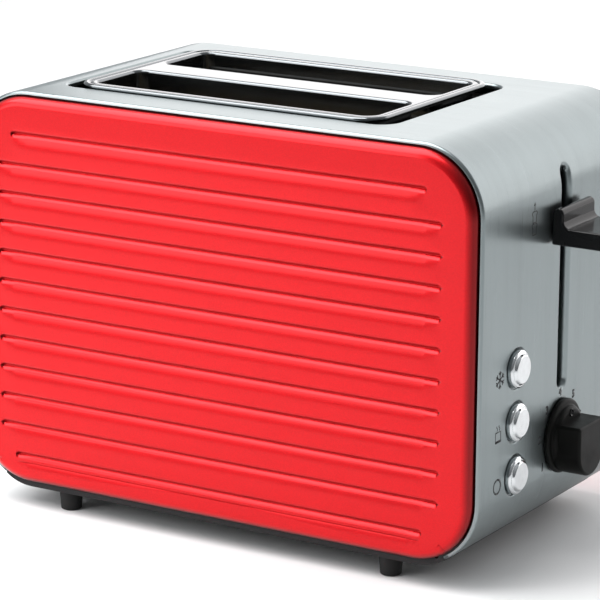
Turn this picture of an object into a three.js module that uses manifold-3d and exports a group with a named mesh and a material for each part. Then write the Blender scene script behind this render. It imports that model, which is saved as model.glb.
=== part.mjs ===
// A two-slot pop-up toaster, in millimetres.
// +X runs along the bread slots towards the lever and the browning knob, +Y from
// the front panel to the rear one, and +Z up from the surface the feet stand on.
import * as THREE from "three";
import { mergeVertices } from "three/addons/utils/BufferGeometryUtils.js";
import Module from "manifold-3d";

const wasm = await Module();
wasm.setup();

// Driving dimensions. BODY is the outline of the two pressed panels.
const BODY = { length: 258, depth: 158, bottom: 10.5, top: 190.5, corner: 29.5 };
const GAP = 0.3; // between pieces that touch on the real toaster
const SHEET = 1.0;
const WRAP = { proud: 1.3, halfDepth: 75, lowerSweep: 60 };
const PANEL = { sheet: 1.6, roll: 3.2, back: 73.2 };
const GROOVE = {
  count: 12,
  pitch: 13.37,
  middleZ: 98.7,
  endShift: 0.7, // the first and last grooves stand this much further out
  width: 3.2,
  depth: 1.0,
  inset: 16,
  endInset: 23.5,
};
const WELL = { x: -11.5, halfLength: 84.5, halfWidth: 54, corner: 10 };
const INSERT = { halfLength: 78, halfWidth: 53.2, top: 193.5, skirt: 7, corner: 5 };
const BREAD = { halfLength: 72, inner: 9, outer: 46.5, corner: 6, flange: 12 };
const LEVER = { z: 143, width: 30.6, gap: 0.9, reach: 30.2, down: 62, up: 12 };
const LEVER_SLOT = { width: 6.4, bottom: 73, top: 171 };
const KNOB = {
  z: 51.8,
  skirt: 16.5,
  skirtDepth: 2.2,
  disc: 13.6,
  discDepth: 4.6,
  reach: 15,
  grip: 24,
  flat: 7.8,
  shaft: 3,
};
const BUTTON = {
  y: -42.5,
  z: [91.8, 68.3, 44.8],
  hole: 9,
  rim: 8.3,
  face: 6.3,
  proud: 3.5,
  travel: 2,
};
const BASE = { bottom: 6.5, floor: 2.5, lip: 10.2, rimY: 74.6, wallY: 72.9, wall: 2.4, riseAngle: 35 };
const FOOT = { controlX: 85.5, farX: -82, y: 69, low: 4.75, high: 5.35 };
const CHAMBER = { farX: -93, controlX: 69, plateY: 66, bottom: 14, top: 184, sheet: 1 };
const HEATER = { y: 56, bottom: 34, top: 176, mica: 0.8, strip: 1.2 };
const GUARD = { inner: 7, outer: 49.5, bottom: 32, top: 178, wire: 1.6, uprights: 12 };
const LIFTER = { y: 27.75, top: 126.5, halfWidth: 5, neck: 1.6 };
const ROD = { x: 96, radius: 2.5 };
const TRAY = { farX: -115.5, nearX: 63, halfWidth: 48, bottom: 9.4, top: 12.6, sheet: 0.8 };
const BOARD = { x: 112, thickness: 1.6, switchHeight: 4 };
const GLAND = { y: 45, z: 48, neck: 5 };
const SCREW = { y: 60, controlX: 75.5, farX: -98, head: 3.5, shank: 1.7 };

// Values that follow from the driving ones.
const halfLength = BODY.length / 2;
const halfDepth = BODY.depth / 2;
const cornerX = halfLength - BODY.corner;
const lowCornerZ = BODY.bottom + BODY.corner;
const highCornerZ = BODY.top - BODY.corner;
const wrapX = halfLength + WRAP.proud;
const wrapTop = BODY.top + WRAP.proud;
const leverEnd = wrapX + LEVER.reach;
const glandEnd = -wrapX - 4.2;
const centreShift = -(leverEnd + glandEnd) / 2;
const boardFace = BOARD.x + BOARD.thickness + GAP;
const stemStart = boardFace + BOARD.switchHeight + GAP + BUTTON.travel;
const CORNER_STEPS = 8;
const rad = THREE.MathUtils.degToRad;

const FINISH = {
  steel: finish(0xc9cccd, 0.32, 1.0),
  polished: finish(0xd9dcdd, 0.12, 1.0),
  red: finish(0xd31a22, 0.3, 0.1),
  black: finish(0x0b0b0c, 0.35, 0.0),
  gloss: finish(0x060607, 0.12, 0.0),
  rubber: finish(0x0a0a0a, 0.7, 0.0),
  zinc: finish(0xa6a9aa, 0.45, 1.0),
  mica: finish(0xb6a98e, 0.6, 0.0),
  nichrome: finish(0x6f6a66, 0.45, 1.0),
  chrome: finish(0xe4e6e8, 0.08, 1.0),
  copper: finish(0xb0693a, 0.35, 0.8),
  board: finish(0x1f5a3a, 0.5, 0.0),
  brass: finish(0xc9a24b, 0.35, 1.0),
};

function finish(color, roughness, metalness) {
  return new THREE.MeshStandardMaterial({ color, roughness, metalness });
}

// ---- solids -------------------------------------------------------------

// A closed three.js geometry as a solid that can be joined and cut.
function solidOf(geometry) {
  const bare = geometry.index ? geometry.toNonIndexed() : geometry;
  const positions = new THREE.BufferGeometry();
  positions.setAttribute("position", bare.getAttribute("position"));
  const merged = mergeVertices(positions, 1e-4);
  const vertProperties = merged.attributes.position.array;
  const triVerts = new Uint32Array(merged.index.array);
  return new wasm.Manifold(new wasm.Mesh({ numProp: 3, vertProperties, triVerts }));
}

function geometryOf(solid) {
  const mesh = solid.getMesh();
  const geometry = new THREE.BufferGeometry();
  geometry.setAttribute("position", new THREE.BufferAttribute(mesh.vertProperties, 3));
  geometry.setIndex(new THREE.BufferAttribute(mesh.triVerts, 1));
  geometry.computeVertexNormals();
  return geometry;
}

function union(solids) {
  return solids.reduce((whole, piece) => whole.add(piece));
}

function cut(solid, tools) {
  return tools.reduce((rest, tool) => rest.subtract(tool), solid);
}

function block(x0, x1, y0, y1, z0, z1) {
  const geometry = new THREE.BoxGeometry(x1 - x0, y1 - y0, z1 - z0);
  geometry.translate((x0 + x1) / 2, (y0 + y1) / 2, (z0 + z1) / 2);
  return solidOf(geometry);
}

function extruded(shape, depth, steps) {
  return new THREE.ExtrudeGeometry(shape, { depth, bevelEnabled: false, curveSegments: steps });
}

// A shape drawn in X and Z, extruded from y0 to y1.
function alongY(shape, y0, y1, steps = CORNER_STEPS) {
  const geometry = extruded(shape, y1 - y0, steps);
  geometry.rotateX(Math.PI / 2).translate(0, y1, 0);
  return solidOf(geometry);
}

// A shape drawn in Y and Z, extruded from x0 to x1.
function alongX(shape, x0, x1, steps = CORNER_STEPS) {
  const geometry = extruded(shape, x1 - x0, steps);
  const yToZToX = new THREE.Matrix4().makeBasis(
    new THREE.Vector3(0, 1, 0),
    new THREE.Vector3(0, 0, 1),
    new THREE.Vector3(1, 0, 0),
  );
  geometry.applyMatrix4(yToZToX).translate(x0, 0, 0);
  return solidOf(geometry);
}

// A shape drawn in X and Y, extruded from z0 to z1.
function alongZ(shape, z0, z1, steps = CORNER_STEPS) {
  return solidOf(extruded(shape, z1 - z0, steps).translate(0, 0, z0));
}

function roundedRectangle(x0, x1, y0, y1, radius) {
  const path = new THREE.Shape();
  path.absarc(x1 - radius, y0 + radius, radius, -Math.PI / 2, 0);
  path.absarc(x1 - radius, y1 - radius, radius, 0, Math.PI / 2);
  path.absarc(x0 + radius, y1 - radius, radius, Math.PI / 2, Math.PI);
  path.absarc(x0 + radius, y0 + radius, radius, Math.PI, 1.5 * Math.PI);
  path.closePath();
  return path;
}

function polygon(points) {
  return new THREE.Shape(points.map(([x, y]) => new THREE.Vector2(x, y)));
}

function rectangle(x0, x1, y0, y1) {
  return polygon([
    [x0, y0],
    [x1, y0],
    [x1, y1],
    [x0, y1],
  ]);
}

function rodAlongX(x0, x1, y, z, radius, sides = 24) {
  const geometry = new THREE.CylinderGeometry(radius, radius, x1 - x0, sides);
  geometry.rotateZ(-Math.PI / 2).translate((x0 + x1) / 2, y, z);
  return solidOf(geometry);
}

function rodAlongZ(x, y, z0, z1, radius, sides = 24) {
  const geometry = new THREE.CylinderGeometry(radius, radius, z1 - z0, sides);
  geometry.rotateX(Math.PI / 2).translate(x, y, (z0 + z1) / 2);
  return solidOf(geometry);
}

// A turned piece. The profile lists [radius, height] up the axis.
function turned(profile, sides = 24) {
  const points = profile.map(([radius, height]) => new THREE.Vector2(radius, height));
  return new THREE.LatheGeometry(points, sides);
}

function turnedAlongZ(profile, sides) {
  return solidOf(turned(profile, sides).rotateX(Math.PI / 2));
}

function turnedAlongX(profile, sides) {
  return solidOf(turned(profile, sides).rotateZ(-Math.PI / 2));
}

// ---- casing -------------------------------------------------------------

// The wrap covers the top and both ends, and stops part of the way round the lower corners.
function wrapOutline() {
  const outer = BODY.corner + WRAP.proud;
  const inner = outer - SHEET;
  const low = rad(WRAP.lowerSweep);
  const shape = new THREE.Shape();
  shape.absarc(cornerX, lowCornerZ, outer, -low, 0);
  shape.absarc(cornerX, highCornerZ, outer, 0, Math.PI / 2);
  shape.absarc(-cornerX, highCornerZ, outer, Math.PI / 2, Math.PI);
  shape.absarc(-cornerX, lowCornerZ, outer, Math.PI, Math.PI + low);
  shape.absarc(-cornerX, lowCornerZ, inner, Math.PI + low, Math.PI, true);
  shape.absarc(-cornerX, highCornerZ, inner, Math.PI, Math.PI / 2, true);
  shape.absarc(cornerX, highCornerZ, inner, Math.PI / 2, 0, true);
  shape.absarc(cornerX, lowCornerZ, inner, 0, -low, true);
  shape.closePath();
  return shape;
}

function wrapShell() {
  const band = alongY(wrapOutline(), -WRAP.halfDepth, WRAP.halfDepth);
  const well = roundedRectangle(
    WELL.x - WELL.halfLength,
    WELL.x + WELL.halfLength,
    -WELL.halfWidth,
    WELL.halfWidth,
    WELL.corner,
  );
  const half = LEVER_SLOT.width / 2;
  const leverSlot = roundedRectangle(-half, half, LEVER_SLOT.bottom, LEVER_SLOT.top, half - 0.01);
  const controlEnd = [wrapX - 5, wrapX + 5];
  const holes = BUTTON.z.map((z) => rodAlongX(...controlEnd, BUTTON.y, z, BUTTON.hole, 20));
  return cut(band, [
    alongZ(well, wrapTop - 5, wrapTop + 5),
    alongX(leverSlot, ...controlEnd, 3),
    rodAlongX(...controlEnd, 0, KNOB.z, KNOB.shaft + 1.5, 12),
    rodAlongX(-wrapX - 5, -wrapX + 5, GLAND.y, GLAND.z, GLAND.neck + GAP, 16),
    ...holes,
  ]);
}

function panelOutline(inset) {
  const { bottom, top, corner } = BODY;
  const x = halfLength - inset;
  return roundedRectangle(-x, x, bottom + inset, top - inset, corner - inset);
}

// The pressed front panel: a shallow pan with a rolled edge and horizontal grooves.
function frontPanel() {
  const bevel = {
    depth: halfDepth - PANEL.back - PANEL.roll,
    bevelEnabled: true,
    bevelThickness: PANEL.roll,
    bevelSize: PANEL.roll,
    bevelSegments: 2,
    curveSegments: 6,
  };
  const skin = new THREE.ExtrudeGeometry(panelOutline(PANEL.roll), bevel);
  skin.rotateX(Math.PI / 2).translate(0, -PANEL.back, 0);
  const behind = block(-200, 200, -PANEL.back, 0, 0, 220);
  const pan = solidOf(skin).subtract(behind);
  const hollow = alongY(panelOutline(PANEL.sheet), -halfDepth + PANEL.sheet + 2, -PANEL.back + 1, 4);
  const inner = alongY(panelOutline(PANEL.roll), -halfDepth + PANEL.sheet, -PANEL.back + 1, 4);
  return cut(pan, [hollow, inner, ...grooves()]);
}

function grooves() {
  const mouth = -halfDepth - 0.5;
  const half = GROOVE.width / 2;
  return Array.from({ length: GROOVE.count }, (_, index) => {
    const rank = (GROOVE.count - 1) / 2 - index;
    const atEnd = index === 0 || index === GROOVE.count - 1;
    const shift = atEnd ? Math.sign(rank) * GROOVE.endShift : 0;
    const z = GROOVE.middleZ + rank * GROOVE.pitch + shift;
    const x = halfLength - (atEnd ? GROOVE.endInset : GROOVE.inset);
    const section = polygon([
      [mouth, z - half],
      [-halfDepth + GROOVE.depth, z + 0.4],
      [mouth, z + half],
    ]);
    return alongX(section, -x, x);
  });
}

// The black carrier behind each panel ties the wrap, the base and the panel together.
function panelCarrier() {
  const clear = GAP + PANEL.sheet / 4;
  const plate = alongY(panelOutline(clear), -BASE.wallY, -BASE.wallY + PANEL.sheet);
  return plate.subtract(block(-200, 200, -100, 0, 0, baseRimZ() + GAP));
}

function baseRimZ() {
  return lowCornerZ - (BODY.corner - BASE.wall / 8) * Math.sin(rad(BASE.riseAngle));
}

// The base outline in X and Z, drawn in by inset, with its ends rising inside the wrap.
function baseOutline(inset) {
  const radius = BODY.corner - BASE.wall / 8 - inset;
  const join = rad(WRAP.lowerSweep + 1.2);
  const rise = rad(BASE.riseAngle);
  const outer = BODY.corner + WRAP.proud - inset;
  const bottom = BASE.bottom + inset;
  const tip = [cornerX + outer * Math.cos(join), lowCornerZ - outer * Math.sin(join)];
  const shape = new THREE.Shape();
  shape.moveTo(-cornerX, bottom);
  shape.lineTo(cornerX, bottom);
  shape.quadraticCurveTo(cornerX + 9, bottom, ...tip);
  shape.absarc(cornerX, lowCornerZ, radius, -join, -rise);
  shape.absarc(-cornerX, lowCornerZ, radius, Math.PI + rise, Math.PI + join);
  shape.lineTo(-tip[0], tip[1]);
  shape.quadraticCurveTo(-cornerX - 9, bottom, -cornerX, bottom);
  return shape;
}

function base() {
  const lower = alongY(baseOutline(0), -BASE.rimY, BASE.rimY, 6);
  const aboveLip = [-1, 1].map((side) => {
    const [y0, y1] = side < 0 ? [-80, -BASE.wallY] : [BASE.wallY, 80];
    return block(-200, 200, y0, y1, BASE.lip, 40);
  });
  const insideY = BASE.wallY - BASE.wall;
  const pocket = alongY(baseOutline(BASE.floor), -insideY, insideY, 6);
  const tray = cut(lower, [...aboveLip, pocket]);
  const bosses = union(baseBosses()).intersect(lower);
  const mouth = block(-140, -100, -TRAY.halfWidth - 0.6, TRAY.halfWidth + 0.6, 9, 12.9);
  return cut(tray.add(bosses), [mouth, ...baseHoles()]);
}

function baseBosses() {
  const floor = BASE.bottom + 1;
  const rails = [-1, 1].map((side) => {
    const y = side * (TRAY.halfWidth + 1.6);
    return block(-98, 65, y - 0.75, y + 0.75, floor, 13.2);
  });
  const screwBosses = screwSpots().map(([x, y]) => rodAlongZ(x, y, floor, 13.7, 5.5, 12));
  const rodBoss = rodAlongZ(ROD.x, 0, floor, 14, 5, 12);
  const boardRail = block(BOARD.x - 2, BOARD.x - GAP, -60, 12, 12, 26);
  const magnetPad = block(94, 114, 18, 38, floor, 17.7);
  return [...rails, ...screwBosses, rodBoss, boardRail, magnetPad];
}

function baseHoles() {
  const counterbores = screwSpots().map(([x, y]) => rodAlongZ(x, y, 0, 9, 4.1, 12));
  const screwHoles = screwSpots().map(([x, y]) => rodAlongZ(x, y, 0, 20, 2.1, 10));
  const footHoles = footSpots().map(([x, y]) => rodAlongZ(x, y, 0, 9, 2.8, 12));
  return [...counterbores, ...screwHoles, ...footHoles];
}

function screwSpots() {
  return [SCREW.controlX, SCREW.farX].flatMap((x) => [-SCREW.y, SCREW.y].map((y) => [x, y]));
}

function footSpots() {
  return [FOOT.controlX, FOOT.farX].flatMap((x) => [-FOOT.y, FOOT.y].map((y) => [x, y]));
}

function foot() {
  const shoulder = BASE.bottom - GAP;
  return turnedAlongZ(
    [
      [0, 0],
      [FOOT.low - 0.5, 0],
      [FOOT.low, 0.5],
      [FOOT.high, shoulder],
      [2.5, shoulder],
      [2.5, shoulder + 2.4],
      [0, shoulder + 2.4],
    ],
    20,
  );
}

function baseScrew() {
  return turnedAlongZ(
    [
      [0, 0],
      [SCREW.head, 0],
      [SCREW.head, 1.9],
      [SCREW.shank, 1.9],
      [SCREW.shank, 11],
      [0, 12],
    ],
    12,
  );
}

// ---- bread slots ----------------------------------------------------------

function slotRectangle(side, grow) {
  const [y0, y1] = side < 0 ? [-BREAD.outer, -BREAD.inner] : [BREAD.inner, BREAD.outer];
  const x = BREAD.halfLength + grow;
  return roundedRectangle(WELL.x - x, WELL.x + x, y0 - grow, y1 + grow, BREAD.corner + grow);
}

function insertRectangle(inset) {
  const x = INSERT.halfLength - inset;
  const y = INSERT.halfWidth - inset;
  return roundedRectangle(WELL.x - x, WELL.x + x, -y, y, INSERT.corner - inset);
}

// The polished top plate: turned down all round, with a turned-down flange in each slot.
function slotInsert() {
  const { top, skirt } = INSERT;
  const cap = alongZ(insertRectangle(0), top - skirt, top, 3);
  const under = alongZ(insertRectangle(SHEET), top - skirt - 1, top - SHEET, 3);
  const sides = [-1, 1];
  const flanges = sides.map((side) => alongZ(slotRectangle(side, SHEET), top - BREAD.flange, top, 3));
  const mouths = sides.map((side) => alongZ(slotRectangle(side, 0), 0, 250, 3));
  return cut(union([cap.subtract(under), ...flanges]), mouths);
}

// ---- heating chamber ------------------------------------------------------

function lifterSlot(side) {
  const y = side * LIFTER.y;
  const low = LIFTER.top - LEVER.down - 12;
  return [y - 2, y + 2, low, LIFTER.top + LEVER.up + 3];
}

// The plate at the control end holds the guide rod's upper end on a shelf.
function controlEndPlate() {
  const { controlX: x, plateY, bottom, top, sheet } = CHAMBER;
  const plate = block(x, x + sheet, -plateY, plateY, bottom, top);
  const shelf = block(x, 104, -24, 10, top, top + sheet);
  const tabs = [-1, 1].map((side) => screwTab(x, x + 11, side));
  const slots = [-1, 1].map((side) => {
    const [y0, y1, z0, z1] = lifterSlot(side);
    return block(x - 2, x + 3, y0, y1, z0, z1);
  });
  const springHole = rodAlongZ(92, -16, top - 2, top + 3, 1.2, 12);
  return cut(union([plate, shelf, ...tabs]), [...slots, springHole, ...tabHoles()]);
}

function screwTab(x0, x1, side) {
  const y = side * SCREW.y;
  return block(x0, x1, y - 6, y + 6, CHAMBER.bottom, CHAMBER.bottom + CHAMBER.sheet);
}

function tabHoles() {
  return screwSpots().map(([x, y]) => rodAlongZ(x, y, 10, 20, SCREW.shank + 0.3, 12));
}

function farEndPlate() {
  const { farX: x, plateY, bottom, top, sheet } = CHAMBER;
  const plate = block(x, x + sheet, -plateY, plateY, bottom, top);
  const tabs = [-1, 1].map((side) => screwTab(x - 10, x + sheet, side));
  const vents = [-40, 0, 40].map((y) => block(x - 2, x + 3, y - 9, y + 9, 150, 156));
  return cut(union([plate, ...tabs]), [...tabHoles(), ...vents]);
}

function reflector() {
  const y = HEATER.y + 5.2;
  const x0 = CHAMBER.farX + CHAMBER.sheet + GAP;
  const x1 = CHAMBER.controlX - GAP;
  const sheet = block(x0, x1, y, y + 0.8, 20, 182);
  const foldTop = block(x0, x1, y - 3, y + 0.8, 181.2, 182);
  return union([sheet, foldTop]);
}

function micaBoard() {
  return block(WELL.x - 78, WELL.x + 78, -HEATER.mica / 2, HEATER.mica / 2, HEATER.bottom, HEATER.top);
}

// A flat resistance strip that runs to and fro across the mica board.
function elementWinding() {
  const rows = 12;
  const pitch = (HEATER.top - HEATER.bottom - 20) / (rows - 1);
  const left = WELL.x - 70;
  const right = WELL.x + 70;
  const path = [];
  for (let row = 0; row < rows; row += 1) {
    const z = HEATER.bottom + 10 + row * pitch;
    const ends = row % 2 ? [right, left] : [left, right];
    path.push([ends[0], z], [ends[1], z]);
  }
  return alongY(ribbon(path, 1.4), 0, HEATER.strip);
}

// The outline of a ribbon that follows a path of level and upright runs.
function ribbon(path, width) {
  const half = width / 2;
  const last = path.length - 1;
  const sideOf = (sign) =>
    path.map(([x, z], index) => {
      const before = direction(path[Math.max(index - 1, 0)], path[Math.max(index, 1)]);
      const after = direction(path[Math.min(index, last - 1)], path[Math.min(index + 1, last)]);
      const turn = Math.abs(before[0] * after[0] + before[1] * after[1]) > 0.5;
      const normalX = turn ? -before[1] : -before[1] - after[1];
      const normalZ = turn ? before[0] : before[0] + after[0];
      return [x + sign * half * normalX, z + sign * half * normalZ];
    });
  return polygon([...sideOf(-1), ...sideOf(1).reverse()]);
}

function direction(from, to) {
  const length = Math.hypot(to[0] - from[0], to[1] - from[1]);
  return [(to[0] - from[0]) / length, (to[1] - from[1]) / length];
}

// A wire grid that moves towards the bread as the carriage goes down.
function breadGuard() {
  const { bottom, top, wire, uprights } = GUARD;
  const half = wire / 2;
  const x0 = WELL.x - 76;
  const x1 = WELL.x + 76;
  const step = (x1 - x0 - wire) / (uprights - 1);
  const bars = Array.from({ length: uprights }, (_, index) => {
    const left = x0 + index * step;
    return block(left, left + wire, -half, half, bottom, top);
  });
  const rails = [bottom, (bottom + top) / 2, top - wire].map((z) => block(x0, x1, -half, half, z, z + wire));
  return union([...bars, ...rails]);
}

// ---- carriage ---------------------------------------------------------------

// The bracket slides on the guide rod. Its arm reaches out to the lever.
function carriageBracket() {
  const plate = block(84, 85.5, -33, 33, -22, 4);
  const hub = rodAlongZ(ROD.x, 0, -26, 6, 5.5, 20);
  const web = block(85, 92, -2, 2, -22, 4);
  const arm = block(99, 119.7, -1.5, 1.5, -4, 4);
  const springEar = block(85, 95, -19, -13, 2.5, 4);
  const bore = rodAlongZ(ROD.x, 0, -40, 20, ROD.radius + 0.4, 20);
  return cut(union([plate, hub, web, arm, springEar]), [bore]);
}

// A narrow shelf under the slice, with a neck that passes through the end plate.
function breadLifter() {
  const strip = block(WELL.x - 74, WELL.x + 76, -LIFTER.halfWidth, LIFTER.halfWidth, -1.2, 0);
  const ribs = [-1, 1].map((side) => {
    const y = side * (LIFTER.halfWidth - 0.6);
    return block(WELL.x - 74, WELL.x + 76, y - 0.6, y + 0.6, -5, 0);
  });
  const neck = block(50, 83.7, -LIFTER.neck / 2, LIFTER.neck / 2, -10, 0);
  return union([strip, ...ribs, neck]);
}

// The lever grip: an upstand at the panel and a thick finger plate, on a stem through the slot.
function leverGrip() {
  const half = LEVER.width / 2;
  const x0 = wrapX + LEVER.gap;
  const x1 = leverEnd;
  const low = -2.9;
  const fillet = 3;
  const profile = new THREE.Shape();
  profile.moveTo(x0, low);
  profile.lineTo(x1 - 2, low);
  profile.absarc(x1 - 2, low + 2, 2, -Math.PI / 2, 0);
  profile.absarc(x1 - 3, low + 4.5, 3, 0, Math.PI / 2);
  profile.absarc(x0 + 5.3 + fillet, low + 7.5 + fillet, fillet, 1.5 * Math.PI, Math.PI, true);
  profile.absarc(x0 + 3.3, low + 14, 2, 0, Math.PI / 2);
  profile.lineTo(x0, low + 16);
  profile.closePath();
  const grip = alongY(profile, -half, half, 5);
  const stem = block(120, x0 + 1, -1.9, 1.9, low, 4);
  return grip.add(stem);
}

// The plate that the electromagnet holds while the bread browns.
function armaturePlate() {
  const flange = block(85.8, 104, 24, 32, -13, -11.5);
  const strip = block(102.5, 104, 24, 32, -33, -11.5);
  const face = block(96, 112, 20, 36, -34, -32);
  return union([flange, strip, face]);
}

function liftSpring() {
  const turns = 9;
  const [radius, bottom, height] = [4, 4.6, 35.4];
  class Helix extends THREE.Curve {
    getPoint(t, target = new THREE.Vector3()) {
      const angle = 2 * Math.PI * turns * t;
      return target.set(radius * Math.cos(angle), radius * Math.sin(angle), bottom + height * t);
    }
  }
  const section = rectangle(-0.6, 0.6, -0.6, 0.6);
  const options = { steps: turns * 8, curveSegments: 1, extrudePath: new Helix() };
  return solidOf(new THREE.ExtrudeGeometry(section, options));
}

// ---- controls ---------------------------------------------------------------

// A skirt with a grip bar across it: flat on top, round below. The axis is at the origin.
function browningKnob() {
  const skirt = turnedAlongX(
    [
      [0, 0],
      [KNOB.skirt, 0],
      [KNOB.skirt, KNOB.skirtDepth - 1],
      [KNOB.skirt - 1, KNOB.skirtDepth],
      [KNOB.disc, KNOB.skirtDepth],
      [KNOB.disc, KNOB.discDepth - 1],
      [KNOB.disc - 1, KNOB.discDepth],
      [0, KNOB.discDepth],
    ],
    36,
  );
  const half = KNOB.grip / 2;
  const drop = KNOB.skirt - half - 0.6;
  const bar = new THREE.Shape();
  bar.moveTo(half, KNOB.flat);
  bar.lineTo(-half, KNOB.flat);
  bar.absarc(0, -drop, half, Math.PI, 2 * Math.PI);
  bar.closePath();
  const grip = alongX(bar, KNOB.skirtDepth - 1, KNOB.reach, 10);
  const bore = rodAlongX(-1, KNOB.reach - 3, 0, 0, KNOB.shaft + GAP, 20);
  const dimple = rodAlongX(KNOB.discDepth - 0.9, KNOB.discDepth + 2, 0, 10.4, 1.4, 16);
  return cut(skirt.add(grip), [bore, dimple]);
}

// A stepped round cap on a stem. The outer face of the wrap is at the origin.
function pushButton() {
  const stem = stemStart - wrapX;
  return turnedAlongX(
    [
      [0, stem],
      [3, stem],
      [3, -3.6],
      [BUTTON.hole + 0.9, -3.6],
      [BUTTON.hole + 0.9, -1.6],
      [BUTTON.rim, -1.6],
      [BUTTON.rim, BUTTON.proud - 2],
      [BUTTON.rim - 0.8, BUTTON.proud - 1.3],
      [BUTTON.face + 0.4, BUTTON.proud - 1.3],
      [BUTTON.face, BUTTON.proud - 0.3],
      [BUTTON.face - 0.4, BUTTON.proud],
      [0, BUTTON.proud],
    ],
    20,
  );
}

function buttonCarrier() {
  const plate = roundedRectangle(BUTTON.y - 13, BUTTON.y + 13, 32, 104, 3);
  const body = alongX(plate, 121.5, 124.5, 3);
  const holes = BUTTON.z.map((z) => rodAlongX(120, 126, BUTTON.y, z, 3.5, 12));
  return cut(body, holes);
}

function circuitBoard() {
  const outline = polygon([
    [-62, 30],
    [14, 30],
    [14, 64],
    [-8, 64],
    [-8, 106],
    [-62, 106],
  ]);
  return alongX(outline, BOARD.x, BOARD.x + BOARD.thickness);
}

function tactSwitch() {
  const body = block(0, 3, -3, 3, -3, 3);
  const plunger = rodAlongX(2.5, BOARD.switchHeight, 0, 0, 1.6, 16);
  return body.add(plunger);
}

function potentiometer() {
  return turnedAlongX(
    [
      [0, 0],
      [8, 0],
      [8, 6.5],
      [3.5, 6.5],
      [3.5, 10],
      [0, 10],
    ],
    24,
  );
}

function magnetCore() {
  const foot = block(94, 114, 18, 38, 18, 21);
  const post = rodAlongZ(104, 28, 20, 46.4, 4, 20);
  const yoke = block(94, 96, 20, 36, 18, 46.4);
  return union([foot, post, yoke]);
}

function magnetCoil() {
  const ring = rodAlongZ(104, 28, 21.5, 43, 7.6, 24);
  return cut(ring, [rodAlongZ(104, 28, 20, 45, 4.3, 24)]);
}

// A sprung leaf on an upright post: it closes the mains circuit when the carriage is down.
function powerContact() {
  const leaf = polygon([
    [0, 0],
    [14, 3],
    [20, 2],
    [20, 2.8],
    [14, 3.8],
    [0, 0.8],
  ]);
  const strip = alongY(leaf, -3, 3);
  const post = block(-1, 1, -3, 3, -8, 0.6);
  return strip.add(post);
}

// ---- service parts ----------------------------------------------------------

function crumbTray() {
  const { farX, nearX, halfWidth, bottom, top, sheet } = TRAY;
  const pan = block(farX + 4, nearX, -halfWidth, halfWidth, bottom, top);
  const hollow = block(farX + 5, nearX - sheet, -halfWidth + sheet, halfWidth - sheet, bottom + sheet, 20);
  const lip = alongY(roundedRectangle(farX, farX + 4.2, 7.6, top, 1.2), -34, 34, 4);
  return pan.subtract(hollow).add(lip);
}

function cordGland() {
  const bore = 3.2;
  return turnedAlongX(
    [
      [bore, 4.2],
      [bore, -8],
      [7.5, -8],
      [7.5, -1.6],
      [GLAND.neck, -1.6],
      [GLAND.neck, GAP],
      [8, GAP],
      [8, 2.2],
      [6, 4.2],
      [bore, 4.2],
    ],
    18,
  );
}

function terminalBlock() {
  const body = block(-106, -93, 20, 42, 14.5, 27);
  const wireWays = [25, 31, 37].map((y) => rodAlongX(-110, -90, y, 20, 1.6, 12));
  return cut(body, wireWays);
}

// ---- assembly ---------------------------------------------------------------

const toaster = new THREE.Group();
toaster.position.x = centreShift;

function place(parent, name, solid, material, position = [0, 0, 0], turn = [0, 0, 0]) {
  const mesh = new THREE.Mesh(geometryOf(solid), material);
  mesh.name = name;
  mesh.position.set(...position);
  mesh.rotation.set(...turn);
  parent.add(mesh);
  return mesh;
}

function subassembly(x, y, z) {
  const group = new THREE.Group();
  group.position.set(x, y, z);
  toaster.add(group);
  return group;
}

const halfTurn = [0, 0, Math.PI];

function addCasing() {
  const { steel, red, black, rubber, zinc, polished } = FINISH;
  const panel = frontPanel();
  const carrier = panelCarrier();
  place(toaster, "wrap_shell", wrapShell(), steel);
  place(toaster, "front_panel", panel, red);
  place(toaster, "rear_panel", panel, red, [0, 0, 0], halfTurn);
  place(toaster, "front_carrier", carrier, black);
  place(toaster, "rear_carrier", carrier, black, [0, 0, 0], halfTurn);
  place(toaster, "base", base(), black);
  place(toaster, "slot_insert", slotInsert(), polished);
  place(toaster, "cord_gland", cordGland(), black, [-wrapX, GLAND.y, GLAND.z], halfTurn);
  footSpots().forEach(([x, y], index) => {
    place(toaster, `foot_${index + 1}`, foot(), rubber, [x, y, 0]);
  });
  screwSpots().forEach(([x, y], index) => {
    place(toaster, `base_screw_${index + 1}`, baseScrew(), zinc, [x, y, 6.8]);
  });
}

function addHeatingChamber() {
  const { zinc, mica, nichrome } = FINISH;
  const shield = reflector();
  const board = micaBoard();
  const winding = elementWinding();
  const face = HEATER.mica / 2 + GAP;
  place(toaster, "control_end_plate", controlEndPlate(), zinc);
  place(toaster, "far_end_plate", farEndPlate(), zinc);
  place(toaster, "reflector_rear", shield, zinc);
  place(toaster, "reflector_front", shield, zinc, [2 * WELL.x, 0, 0], halfTurn);
  place(toaster, "mica_board_front", board, mica, [0, -HEATER.y, 0]);
  place(toaster, "mica_board_centre", board, mica);
  place(toaster, "mica_board_rear", board, mica, [0, HEATER.y, 0]);
  place(toaster, "element_front", winding, nichrome, [0, -HEATER.y + face, 0]);
  place(toaster, "element_centre_front", winding, nichrome, [0, -face - HEATER.strip, 0]);
  place(toaster, "element_centre_rear", winding, nichrome, [0, face, 0]);
  place(toaster, "element_rear", winding, nichrome, [0, HEATER.y - face - HEATER.strip, 0]);
  const guard = breadGuard();
  place(toaster, "guard_front_outer", guard, zinc, [0, -GUARD.outer, 0]);
  place(toaster, "guard_front_inner", guard, zinc, [0, -GUARD.inner, 0]);
  place(toaster, "guard_rear_inner", guard, zinc, [0, GUARD.inner, 0]);
  place(toaster, "guard_rear_outer", guard, zinc, [0, GUARD.outer, 0]);
}

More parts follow.
